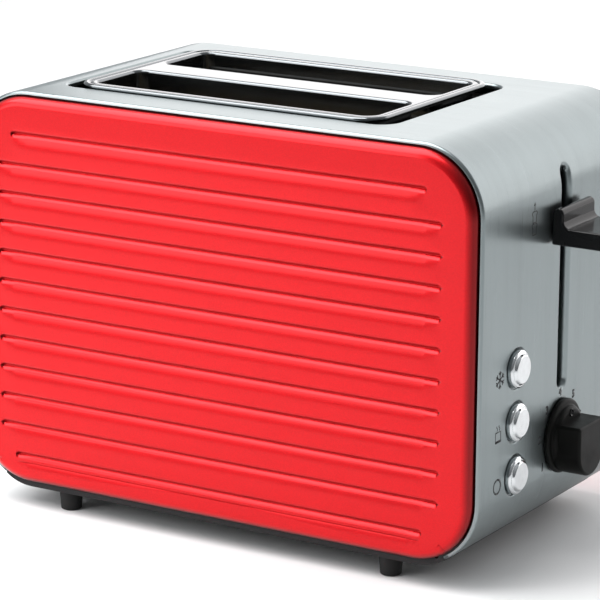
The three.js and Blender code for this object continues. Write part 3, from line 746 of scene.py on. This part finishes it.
def groove_depth(x, z, rows):
    """Depth of the pressed grooves at a point of the panel's face."""
    for height, half in rows:
        beyond = (abs(x) - (half - END_ROUND)) / END_ROUND
        if beyond >= 1 or not -SHOULDER < z - height < UPPER_WALL:
            continue
        share = math.sqrt(1 - max(beyond, 0) ** 2)  # of the full size, less near the round end
        above = (z - height) / share
        if above > 0:
            return GROOVE_DEPTH * share * max(1 - above / UPPER_WALL, 0) ** 2
        wall = max(1 + above / LOWER_WALL, 0) ** 1.3
        fade = smooth((half - abs(x)) / 10)
        shoulder = max(1 + (z - height) / SHOULDER, 0) ** 2 * SHOULDER_DEPTH * fade
        return (GROOVE_DEPTH * share - SHOULDER_DEPTH * fade) * wall + shoulder
    return 0


def crown_depth(x, z, rows):
    """The swell of the bands, as a negative depth."""
    for (low, _), (high, half) in zip(rows, rows[1:]):
        start, end = low + UPPER_WALL, high - LOWER_WALL
        if start < z < end:
            fade = 1 - smooth((abs(x) - half + 8) / 9)
            return -CROWN * math.sin(math.pi * ((z - start) / (end - start)) ** 1.2) * fade
    return 0


def panel_columns(rows):
    """Where the grid of the grooves has its columns: wide in the middle, close at the grooves' ends."""
    columns = {0, 25, 50, 75, 90, 94, 98, 101}
    for half in {half for _, half in rows}:
        columns |= {half - END_ROUND * share for share in (1, 0.7, 0.45, 0.25, 0.12, 0.04, 0)}
        columns |= {half - 4, half - 8}
    columns.add(max(half for _, half in rows) + 1.5)
    return sorted(columns | {-c for c in columns})


def panel_rows(rows):
    """Where the grid of the grooves has its rows: close in a groove, wider between two."""
    heights = set()
    for height, _ in rows:
        up = [0, 0.12, 0.35, 0.65, 1.0, 1.4, 1.85, UPPER_WALL]
        down = [0.12, 0.35, 0.7, 1.1, 1.5, 1.75, LOWER_WALL]
        heights |= {height + v for v in up} | {height - v for v in down}
    for (low, _), (high, _) in zip(rows, rows[1:]):
        start, end = low + UPPER_WALL, high - LOWER_WALL
        heights |= {start + (end - start) * k / 6 for k in range(1, 6)}
    return sorted(heights | {rows[0][0] - 3.5, rows[-1][0] + 4})


def panel_profile():
    """The rolled edge, as (distance from the corner core, depth)."""
    outer = CORNER - PANEL_GAP
    steps = []
    for step in range(11):
        angle = math.pi / 2 * step / 10
        inset = PANEL_ROLL * (1 - math.sin(angle) ** 1.15)
        steps.append((inset, PANEL_DEPTH * (1 - math.cos(angle) ** 0.9)))
    steps += [(0, 5.4), (0.3, 5.8), (1.4, 5.8)]
    return [(outer - inset, depth) for inset, depth in steps]


def make_panel(name, node, turn):
    """A pressed panel: grooved face, rolled edge and a short return. turn is 1 front, -1 rear."""

    def place(x, z, depth):
        return (MIDDLE_X + turn * x, turn * (FRONT_Y + depth), z)

    rows = groove_list()
    us, vs = panel_columns(rows), panel_rows(rows)
    core = (-CORNER_X, CORNER_X, LOW_CORNER_Z, HIGH_CORNER_Z)
    profile = panel_profile()
    patch = [(u, vs[0]) for u in us] + [(us[-1], v) for v in vs[1:]]
    patch += [(u, vs[-1]) for u in us[-2::-1]] + [(us[0], v) for v in vs[-2:0:-1]]
    skin = Skin(place)
    skin.fill(rounded_outline(core, profile[0][0], 14), [patch])
    skin.grid(us, vs, lambda u, v: groove_depth(u, v, rows) + crown_depth(u, v, rows))
    skin.roll(core, profile)
    piece = new_piece(name, skin.shape(), RED, "casing", [node])
    thicken(piece)
    even_shading(piece)


# ---- the slot plate ----

INSERT_CORNER = 12  # radius of the plate's corners
BEAD = 2.9  # width of the rolled bead round the plate
CREASE = 0.7  # depth of the crease that parts the bead from the plate
PLATE_DROP = 0.3  # how far the flat of the plate lies under the top of its bead


def slot_core(side):
    """The core of a bread slot. side is -1 for the front slot and 1 for the rear one."""
    corner = BREAD["corner"]
    low, high = sorted((side * (BREAD["inner"] + corner), side * (BREAD["outer"] - corner)))
    reach = BREAD["half_x"] - corner
    return (WELL_MIDDLE_X - reach, WELL_MIDDLE_X + reach, low, high)


def bead_profile():
    """The plate's edge as (distance from the corner core, depth): a crease, a bead and a short skirt."""
    outer = INSERT_CORNER
    center = outer - BEAD / 2
    pairs = [(outer - BEAD - 0.8, PLATE_DROP), (outer - BEAD - 0.35, 0.5)]
    pairs.append((outer - BEAD, PLATE_DROP + CREASE))
    for step in range(1, 11):
        angle = math.radians(160 - 16 * step)
        pairs.append((center + BEAD / 2 * math.cos(angle), 1.0 - math.sin(angle)))
    return pairs + [(outer, 2.2)]


def make_slot_plate():
    """The raised plate with a beaded rim and a rolled flange in each slot."""

    def place(x, y, depth):
        return (x, y, insert_high.z - depth)

    skin = Skin(place)
    reach_x, reach_y = INSERT_X - INSERT_CORNER, INSERT_Y - INSERT_CORNER
    core = (WELL_MIDDLE_X - reach_x, WELL_MIDDLE_X + reach_x, -reach_y, reach_y)
    slots = [slot_core(side) for side in (-1, 1)]
    mouth = BREAD["corner"] + BREAD["roll"]
    profile = bead_profile()
    holes = [rounded_outline(slot, mouth, 12) for slot in slots]
    skin.fill(rounded_outline(core, profile[0][0], 14), holes, depth=PLATE_DROP)
    skin.roll(core, profile)
    for slot in slots:
        lip = quarter_roll(mouth, BREAD["roll"], BREAD["depth"])
        skin.roll(slot, [(distance, depth + PLATE_DROP) for distance, depth in lip])
    piece = new_piece("slot_plate", skin.shape(), POLISHED, "casing", ["slot_insert"])
    thicken(piece, 0.6)
    even_shading(piece)


# Painted shade: a black frame under the gap round the slot plate, so that the gap reads as dark shade.
SHADE_FRAME = {"drop": 7, "corner": 12, "overlap": 1.5, "width": 9.5}


def make_well_liner():
    """A black frame under the gap between the slot plate and the wrap, a dark sheet that stands in for the
    shade down in that gap.
    """

    def place(x, y, depth):
        return (x, y, insert_high.z - SHADE_FRAME["drop"] - depth)

    shrink = SHADE_FRAME["overlap"] - SHADE_FRAME["corner"]
    reach_x, reach_y = WELL["half_x"] + shrink, WELL["half_y"] + shrink
    core = (WELL_MIDDLE_X - reach_x, WELL_MIDDLE_X + reach_x, -reach_y, reach_y)
    skin = Skin(place)
    inner = SHADE_FRAME["corner"] - SHADE_FRAME["width"]
    skin.fill(rounded_outline(core, SHADE_FRAME["corner"], 10), [rounded_outline(core, inner, 10)])
    skin.roll(core, quarter_roll(inner, 0.8, 3.0, 4))
    piece = new_piece("well_shade_frame", skin.shape(), KNOB_BLACK, "casing")
    thicken(piece, 1.0)
    even_shading(piece)


# ---- base, feet and screws ----

BASE_SHADOW = 2.1  # how far the outer wall of the base stops above its underside
BASE_TIP = math.radians(1.2)  # how far the base runs on past the lower edge of the wrap
BASE_RISE_END = -35  # the angle, round the panel's corner, at which the base stops behind the wrap
FOOT = {"taper": 0.7, "edge": 1.2, "into_base": 0.6}
RECESS = {"half_length": 1.7, "half_width": 0.45, "depth": 1.1}


def base_outline(inset):
    """The base in X and Z, from its lower edge up to where it passes behind the wrap."""
    tip_angle = LOWER_SWEEP + BASE_TIP
    tip = (CORNER_X + WRAP_RADIUS * math.cos(tip_angle), LOW_CORNER_Z - WRAP_RADIUS * math.sin(tip_angle))
    start, control = (CORNER_X, base_low.z + inset), (CORNER_X + 9, base_low.z + inset)
    curve = []
    for step in range(13):
        t = step / 12
        parts = ((1 - t) ** 2, 2 * t * (1 - t), t**2)
        curve.append(tuple(sum(w * p[k] for w, p in zip(parts, (start, control, tip))) for k in (0, 1)))
    rise = arc((CORNER_X, LOW_CORNER_Z), CORNER - 0.3, -math.degrees(tip_angle), BASE_RISE_END, 6)
    half = curve + rise
    return [(-x, z) for x, z in reversed(half)] + half


def make_base():
    """The base moulding. Its underside slopes in from the wall, so only a thin strip shows.

    The strip under each panel is closed, and behind the panel the base is open.
    """
    wall = (base_high.y - base_low.y) / 2
    rows = [(wall, BASE_SHADOW), (wall - 1.2, BASE_SHADOW - 0.25), (wall - 10, 0)]
    rows = [(-y, inset) for y, inset in rows] + [(y, inset) for y, inset in reversed(rows)]
    points = [(MIDDLE_X + x, y, z) for y, inset in rows for x, z in base_outline(inset)]
    count = len(points) // len(rows)
    faces = []
    for row in range(len(rows) - 1):
        low, high = row * count, (row + 1) * count
        faces += [[low + k, low + k + 1, high + k + 1, high + k] for k in range(count - 1)]
    strip = [k for k, (_, z) in enumerate(base_outline(BASE_SHADOW)) if z <= panel_low.z + 0.4]
    last = (len(rows) - 1) * count
    faces += [[last + k for k in strip], strip[::-1]]
    piece = new_piece("base_moulding", (points, faces), BLACK, "casing", ["base"])
    thicken(piece, 2.0)
    ease_edges(piece, 0.5)
    even_shading(piece)


def upright_at(center):
    """A place for lathe() and prism() that stands a shape on the plan at center."""
    return lambda a, b, height: (center.x + a, center.y + b, height)


def make_foot(index):
    """A short foot, narrower at the ground and hollow in the middle of its sole."""
    node = f"foot_{index}"
    low, high = box_of(node)
    wide = (high.x - low.x) / 2
    narrow = wide - FOOT["taper"]
    top = base_low.z + BASE_SHADOW + FOOT["into_base"]
    hollow = [(0, 0.5), (1.6, 0.5), (1.9, 0.0)]
    wall = [(narrow - FOOT["edge"], 0), (narrow, 0.25), (wide, top)]
    profile = hollow + rounded_profile(wall, 0.45) + [(0, top)]
    shape = lathe(profile, upright_at(middle_of(node)), 40)
    piece = new_piece(f"foot_pad_{index}", shape, RUBBER, "casing", [node])
    even_shading(piece)


def make_screw(index):
    """A pan head screw with a cross recess, seen from below."""
    node = f"base_screw_{index}"
    low, high = box_of(node)
    head = (high.x - low.x) / 2
    corners = [(0, low.z), (head * 0.7, low.z), (head, low.z + 0.9), (head, low.z + 1.9)]
    corners += [(1.6, low.z + 1.9), (1.6, high.z - 1.5), (0, high.z)]
    place = upright_at(middle_of(node))
    shape = lathe(rounded_profile(corners, 0.35), place, 28)
    piece = new_piece(f"screw_{index}", shape, ZINC, "casing", [node])
    long, short = RECESS["half_length"], RECESS["half_width"]
    for a, b in ((long, short), (short, long)):
        bar = [(-a, -b), (a, -b), (a, b), (-a, b)]
        carve(piece, prism(bar, place, low.z - 1, low.z + RECESS["depth"]))
    even_shading(piece)


def carve(piece, shape):
    """Cuts a closed shape out of a piece and leaves no cutter behind."""
    mesh = bpy.data.meshes.new("cutter")
    mesh.from_pydata([Vector(p) * MM for p in shape[0]], [], shape[1])
    cutter = bpy.data.objects.new("cutter", mesh)
    bpy.context.scene.collection.objects.link(cutter)
    modifier = piece.modifiers.new("carve", "BOOLEAN")
    modifier.operation = "DIFFERENCE"
    modifier.solver = "EXACT"
    modifier.object = cutter
    apply_all(piece)
    bpy.data.objects.remove(cutter)


def apply_all(piece):
    """Bakes a piece's modifiers into its mesh."""
    graph = bpy.context.evaluated_depsgraph_get()
    evaluated = piece.evaluated_get(graph)
    mesh = bpy.data.meshes.new_from_object(evaluated)
    piece.modifiers.clear()
    piece.data = mesh


# ---- lever, knob, buttons and gland ----

# gap is the room behind the riser, plate and riser are thicknesses, the others are radii.
LEVER = {"gap": 0.9, "plate": 7.5, "riser": 5.3, "fillet": 3.2, "tip": 3, "under": 2.2, "crest": 2.4}
LEVER_STEM = {"half": 1.9, "low": 0.6, "high": 6.4}


def make_lever():
    """A black grip with a finger plate, on a stem that reaches through the slot."""
    low, high, end = lever_low.z, lever_high.z, lever_high.x
    back = END_FACE + LEVER["gap"]
    riser = back + LEVER["riser"]
    plate = low + LEVER["plate"]
    under, tip, fillet, crest = (LEVER[key] for key in ("under", "tip", "fillet", "crest"))
    outline = [(back, low)]
    outline += arc((end - under, low + under), under, -90, 0, 5)
    outline += arc((end - tip, plate - tip), tip, 0, 90, 6)
    outline += arc((riser + fillet, plate + fillet), fillet, 270, 180, 8)
    outline += arc((riser - crest, high - crest), crest, 0, 180, 10)

    def place(x, z, y):
        return (x, y, z)

    half = (lever_high.y - lever_low.y) / 2
    grip = prism(outline, place, -half, half)
    start, stop = lever_low.x + 0.2, back + 1.5
    bottom, top = low + LEVER_STEM["low"], low + LEVER_STEM["high"]
    bar = [(start, bottom), (stop, bottom), (stop, top), (start, top)]
    stem = prism(bar, place, -LEVER_STEM["half"], LEVER_STEM["half"])
    piece = new_piece("lever", joined(grip, stem), GLOSS, "carriage", ["lever_grip"])
    ease_edges(piece, 0.9, 4, 40)
    even_shading(piece)


KNOB_DISC = 13.6  # radius of the disc
KNOB_GRIP = 12  # half the width of the grip bar
KNOB_FLAT = 7.8  # how far above the axis the flat of the bar lies
KNOB_FACE = 4.55  # height of the disc's face, where the indicator lies
INDICATOR_OUT = 10.9  # how far from the axis the indicator lies


def make_knob():
    """A thin skirt, a thicker disc and a grip bar that is flat on top and round below."""
    start, reach = knob_low.x, knob_high.x - knob_low.x
    skirt = (knob_high.y - knob_low.y) / 2
    drop = skirt - KNOB_GRIP - 0.6

    def place(a, b, h):
        return (start + h, a, KNOB_Z + b)

    corners = [(0, 0), (skirt, 0), (skirt, 1.5), (skirt - 0.9, 2.2), (KNOB_DISC + 0.2, 2.3)]
    corners += [(KNOB_DISC, 3.6), (KNOB_DISC - 1.4, 4.6), (0, 4.7)]
    disc = lathe(rounded_profile(corners, 0.6), place, 80)
    bar = [(KNOB_GRIP, KNOB_FLAT), (-KNOB_GRIP, KNOB_FLAT), *arc((0, -drop), KNOB_GRIP, 180, 360, 32)]
    grip = prism(bar, place, 1.2, reach)
    piece = new_piece("knob", joined(disc, grip), KNOB_BLACK, "knob", ["browning_knob"])
    ease_edges(piece, 1.3, 5, 50)
    even_shading(piece)
    bowl = [(0, 0.02), (0.5, 0.0), (1.0, 0.12), (1.35, 0.42), (1.6, 0.5), (1.75, 0.4), (1.8, 0)]
    spot = lathe(bowl, lambda a, b, h: place(a, INDICATOR_OUT + b, KNOB_FACE + h), 32)
    new_piece("knob_mark", spot, GLOSS, "knob")


def make_button(name):
    """A stepped chrome cap with a dished face, on a stem."""
    node = f"{name}_button"
    low, high = box_of(node)
    y, z = middle_of(node).yz
    wide = (high.y - low.y) / 2
    face = high.x
    corners = [(0, low.x), (2.9, low.x), (2.9, face - 7.2), (wide, face - 7.2), (wide, face - 5.2)]
    corners += [(8.3, face - 5.2), (8.3, face - 1.9), (7.5, face - 1.25), (6.75, face - 1.25)]
    corners += [(6.3, face - 0.25), (5.9, face), (0, face - 0.15)]
    shape = lathe(rounded_profile(corners, 0.35), lambda a, b, h: (h, y + a, z + b), 56)
    piece = new_piece(f"{name}_cap", shape, CHROME, f"{node}_body", [node])
    even_shading(piece)


def make_gland():
    """The strain relief bush in the far end."""
    low, high = box_of("cord_gland")
    y, z = middle_of("cord_gland").yz
    wall = MIDDLE_X - WRAP_X
    bore, flange = 3.2, (high.z - low.z) / 2
    corners = [(bore, high.x), (7.3, high.x), (7.3, wall + 1.7), (5, wall + 1.5), (5, wall - 0.2)]
    corners += [(flange, wall - 0.2), (flange, wall - 2), (6.4, wall - 2.4), (5.6, low.x), (bore, low.x)]
    profile = rounded_profile(corners, 0.5) + [(bore, high.x)]
    shape = lathe(profile, lambda a, b, h: (h, y + a, z + b), 48)
    piece = new_piece("gland_bush", shape, BLACK, "casing", ["cord_gland"])
    even_shading(piece)


# ---- bread guards ----

UPRIGHTS = 12


def make_guard(name):
    """Round upright wires welded to three rails."""
    low, high = box_of(name)
    y = (low.y + high.y) / 2
    radius = (high.y - low.y) / 2
    step = (high.x - low.x - 2 * radius) / (UPRIGHTS - 1)
    shapes = []
    for index in range(UPRIGHTS):
        x = low.x + radius + index * step
        shapes.append(wire((x, y, low.z + radius), (x, y, high.z - radius), radius * 0.95))
    for z in (low.z + radius, (low.z + high.z) / 2, high.z - radius):
        shapes.append(wire((low.x, y, z), (high.x, y, z), radius))
    title = name.replace("guard", "wires")
    piece = new_piece(title, joined(*shapes), WIRE, f"{name}_body", [name])
    even_shading(piece)


# ---- crumb tray ----

# lip is the depth of the finger lip, start where the pan begins behind its outer face.
TRAY = {"lip": 6.1, "lip_half": 34, "start": 4.4, "corner": 4, "rim": 1.2, "floor": 1.9}


def make_crumb_tray():
    """A shallow pan with sloping sides and a finger lip at the far end."""
    low, high = box_of("crumb_tray")
    half = (high.y - low.y) / 2
    corner = TRAY["corner"]
    outer = corner + TRAY["rim"]
    depth = high.z - low.z - TRAY["floor"]

    def place(u, v, below):
        return (u, v, high.z - below)

    core = (low.x + TRAY["start"] + outer, high.x - outer, outer - half, half - outer)
    pan = Skin(place)
    pan.fill(rounded_outline(core, outer, 6), [rounded_outline(core, corner, 6)])
    slope = [(corner, 0), (corner - 0.25, 0.15), (corner - 0.5, depth - 0.5), (corner - 0.9, depth - 0.1)]
    pan.roll(core, slope + [(corner - 1.3, depth)])
    pan.fill(rounded_outline(core, corner - 1.3, 6), depth=depth)
    piece = new_piece("crumb_pan", pan.shape(), ZINC, "crumb_drawer", ["crumb_tray"])
    thicken(piece, 0.6)
    even_shading(piece)
    back = low.x + TRAY["lip"]
    outline = [(low.x, low.z), (back, low.z), (back, high.z), (low.x, high.z)]
    lip = prism(outline, lambda x, z, y: (x, y, z), -TRAY["lip_half"], TRAY["lip_half"])
    handle = new_piece("crumb_tray_lip", lip, BLACK, "crumb_drawer")
    ease_edges(handle, 1.1, 4)
    even_shading(handle)


# ---- printed marks ----

PRINT = {"sunk": 0.02, "proud": 0.04}
SYMBOL_Y = BUTTON_Y - 15.9  # the column of symbols beside the buttons
LEVER_MARK = {"y": -29.6, "z": 154.2}
DIAL = {"numbers": 7, "radius": 19.6, "step": 40, "middle_angle": 93, "height": 3.3}


def new_mark(name, outlines):
    """Flat shapes in (y, z), each a list of points, printed on the control end."""

    def place(y, z, depth):
        return wrap_place(s_of_end(z), y, depth)

    shapes = [prism(outline, place, PRINT["sunk"], -PRINT["proud"]) for outline in outlines]
    new_piece(name, joined(*shapes), INK, "casing")


def stroke(start, end, width):
    """A straight bar from start to end, a little longer so that two of them meet."""
    start, end = Vector(start), Vector(end)
    along = (end - start).normalized() * width / 2
    across = Vector((-along.y, along.x))
    a, b = start - along * 0.4, end + along * 0.4
    return [tuple(a + across), tuple(a - across), tuple(b - across), tuple(b + across)]


def line_through(points, width):
    """Strokes from point to point."""
    return [stroke(a, b, width) for a, b in zip(points, points[1:])]


def closed_line(points, width):
    """Strokes from point to point and back to the first."""
    return line_through([*points, points[0]], width)


def snowflake(y, z, size):
    """Six arms, each with a fork."""
    center = Vector((y, z))
    shapes = []
    for turn in range(3):
        angle = math.radians(90 + 60 * turn)
        arm = Vector((math.cos(angle), math.sin(angle)))
        shapes.append(stroke(center - arm * size, center + arm * size, 0.7))
        for sign in (-1, 1):
            fork = center + arm * sign * size * 0.58
            for lean in (-0.75, 0.75):
                tip_angle = angle + lean + (math.pi if sign < 0 else 0)
                tip = fork + Vector((math.cos(tip_angle), math.sin(tip_angle))) * size * 0.42
                shapes.append(stroke(fork, tip, 0.6))
    return shapes


def slice_outline(y, z, wide, tall):
    """A slice of bread standing up: a square with a wider, rounded crown."""
    left, right = y - wide / 2, y + wide / 2
    low, high, neck = z - tall / 2, z + tall / 2, z + tall * 0.12
    lobe = tall * 0.19
    points = [(left, low), (right, low), (right, neck)]
    points += arc((right - lobe * 0.3, high - lobe), lobe, -60, 90, 6)
    points += arc((left + lobe * 0.3, high - lobe), lobe, 90, 240, 6)
    return points + [(left, neck)]


def reheat_symbol(y, z):
    """A box with a thick floor and two wisps of heat above it."""
    left, right, low, high = y - 2.3, y + 2.3, z - 3.6, z + 0.9
    shapes = closed_line([(left, low), (right, low), (right, high), (left, high)], 0.5)
    shapes.append(stroke((left, low + 0.4), (right, low + 0.4), 0.9))
    for shift in (-1.0, 1.0):
        wave = [(y + shift + 0.45 * math.sin(k * 1.1), z + 1.6 + k * 0.42) for k in range(6)]
        shapes += line_through(wave, 0.5)
    return shapes


def ring(y, z, inner, outer, steps=24):
    """A ring, as a row of four-sided shapes."""
    wide, narrow = (arc((y, z), radius, 0, 360, steps) for radius in (outer, inner))
    return [[wide[k], wide[k + 1], narrow[k + 1], narrow[k]] for k in range(steps)]


def lever_symbol(y, z):
    """An arrow above two slices, one over the other."""
    shapes = line_through([(y, z + 3.6), (y, z + 5.8)], 0.5)
    shapes.append([(y - 0.9, z + 5.6), (y + 0.9, z + 5.6), (y, z + 7.2)])
    for rise in (0.7, -4.6):
        shapes += closed_line(slice_outline(y, z + rise, 3.2, 4.8), 0.42)
    return shapes


def digit_shapes(character, y, z, height):
    """Triangles of one plain digit, centred on (y, z)."""
    curve = bpy.data.curves.new("digit", "FONT")
    curve.body = character
    curve.size = height / 0.7
    curve.align_x = "CENTER"
    curve.align_y = "CENTER"
    curve.resolution_u = 3
    curve.offset = 0.085 * height
    holder = bpy.data.objects.new("digit", curve)
    bpy.context.scene.collection.objects.link(holder)
    mesh = holder.to_mesh()
    mesh.calc_loop_triangles()
    flat = [[tuple(mesh.vertices[k].co[:2]) for k in t.vertices] for t in mesh.loop_triangles]
    holder.to_mesh_clear()
    bpy.data.objects.remove(holder)
    return [[(y + u, z + v) for u, v in triangle] for triangle in flat]


def dial_digits():
    """The settings round the knob, the middle one above it."""
    digits = []
    for number in range(1, DIAL["numbers"] + 1):
        turn = (DIAL["numbers"] + 1) / 2 - number
        angle = math.radians(DIAL["middle_angle"] + DIAL["step"] * turn)
        y, z = DIAL["radius"] * math.cos(angle), KNOB_Z + DIAL["radius"] * math.sin(angle)
        digits += digit_shapes(str(number), y, z, DIAL["height"])
    return digits


def make_marks():
    """The symbols beside the buttons and the lever, and the dial's numbers."""
    new_mark("defrost_mark", snowflake(SYMBOL_Y + 0.6, BUTTON_Z["defrost"] - 1.4, 3.7))
    new_mark("reheat_mark", reheat_symbol(SYMBOL_Y, BUTTON_Z["reheat"] - 1.4))
    new_mark("cancel_mark", ring(SYMBOL_Y, BUTTON_Z["cancel"] - 1.1, 2.65, 3.55))
    new_mark("lever_mark", lever_symbol(LEVER_MARK["y"], LEVER_MARK["z"]))
    new_mark("dial_marks", dial_digits())


# ---- stage, lights and camera, in metres ----

CAMERA_ANGLES = {"azimuth": 31.24, "elevation": 14.54, "roll": 0.36}
CAMERA_PLACE = (0.7107, -1.1977, 0.4571)
CAMERA_LENS = 191.4
FLOOR_REACH = 7.0


def make_floor():
    """A wide flat floor at the height of the feet."""
    mesh = bpy.data.meshes.new("floor")
    corners = [(x * FLOOR_REACH, y * FLOOR_REACH, 0) for x, y in ((-1, -1), (1, -1), (1, 1), (-1, 1))]
    mesh.from_pydata(corners, [], [(0, 1, 2, 3)])
    mesh.materials.append(pale_floor())
    floor = bpy.data.objects.new("floor", mesh)
    bpy.context.scene.collection.objects.link(floor)


def area_light(name, place, target, size, radiance, color=(1, 1, 1)):
    """A soft rectangular light. Its power follows from its size and how bright its face looks."""
    data = bpy.data.lights.new(name, "AREA")
    data.shape = "RECTANGLE"
    data.size, data.size_y = size
    data.energy = radiance * math.pi * size[0] * size[1]
    data.color = color
    light = bpy.data.objects.new(name, data)
    light.location = place
    light.rotation_euler = (Vector(target) - Vector(place)).to_track_quat("-Z", "Y").to_euler()
    bpy.context.scene.collection.objects.link(light)


def make_world():
    """A room that is light behind and to the left and darker to the right and in front."""
    world = bpy.data.worlds.new("studio")
    bpy.context.scene.world = world
    world.use_nodes = True
    tree = world.node_tree
    where = tree.nodes.new("ShaderNodeTexCoord")
    facing = tree.nodes.new("ShaderNodeVectorMath")
    facing.operation = "DOT_PRODUCT"
    facing.inputs[1].default_value = Vector((-0.45, 0.55, 0.7)).normalized()
    tree.links.new(where.outputs["Generated"], facing.inputs[0])
    level = tree.nodes.new("ShaderNodeMapRange")
    level.interpolation_type = "SMOOTHSTEP"
    for socket, value in {"From Min": -0.6, "From Max": 0.8, "To Min": 0.2, "To Max": 0.6}.items():
        level.inputs[socket].default_value = value
    tree.links.new(facing.outputs["Value"], level.inputs["Value"])
    sky = tree.nodes["Background"]
    sky.inputs["Color"].default_value = (0.94, 0.97, 1.0, 1)
    tree.links.new(level.outputs["Result"], sky.inputs["Strength"])


def make_lights():
    """One soft light above, one close to the front panel and a wide one behind for the steel."""
    area_light("key", (-0.4, -0.28, 1.0), (-0.08, -0.05, 0), (0.9, 1.1), 6.2)
    area_light("front_left", (-0.78, -1.0, 0.5), (-0.08, -0.05, 0.12), (0.8, 0.6), 3.6)
    area_light("behind", (0.35, 1.75, 0.8), (0.1, 0, 0.3), (4.0, 1.7), 1.8, (1, 0.96, 0.95))


def make_camera():
    """A long lens a little above the toaster, turned by its angles about its own place."""
    azimuth, elevation, roll = (math.radians(angle) for angle in CAMERA_ANGLES.values())
    outward = Vector((math.sin(azimuth), -math.cos(azimuth), 0))
    back = outward * math.cos(elevation) + Vector((0, 0, math.sin(elevation)))
    level = Vector((math.cos(azimuth), math.sin(azimuth), 0))
    right = level * math.cos(roll) + back.cross(level) * math.sin(roll)
    axes = Matrix((right, back.cross(right), back)).transposed()
    data = bpy.data.cameras.new("camera")
    data.lens = CAMERA_LENS
    data.sensor_width = 36
    camera = bpy.data.objects.new("camera", data)
    camera.matrix_world = Matrix.Translation(CAMERA_PLACE) @ axes.to_4x4()
    bpy.context.scene.collection.objects.link(camera)
    bpy.context.scene.camera = camera


def make_toaster():
    """Every piece, from the casing inward."""
    finish_cad_nodes()
    make_wrap()
    make_panel("front_skin", "front_panel", 1)
    make_panel("rear_skin", "rear_panel", -1)
    make_slot_plate()
    make_well_liner()
    make_base()
    for index in (1, 2, 3, 4):
        make_foot(index)
        make_screw(index)
    make_lever()
    make_knob()
    for name in BUTTONS:
        make_button(name)
    make_gland()
    for name in ("guard_front_outer", "guard_front_inner", "guard_rear_inner", "guard_rear_outer"):
        make_guard(name)
    make_crumb_tray()
    make_marks()


make_toaster()
make_floor()
make_world()
make_lights()
make_camera()
bpy.context.scene.view_settings.view_transform = "Standard"
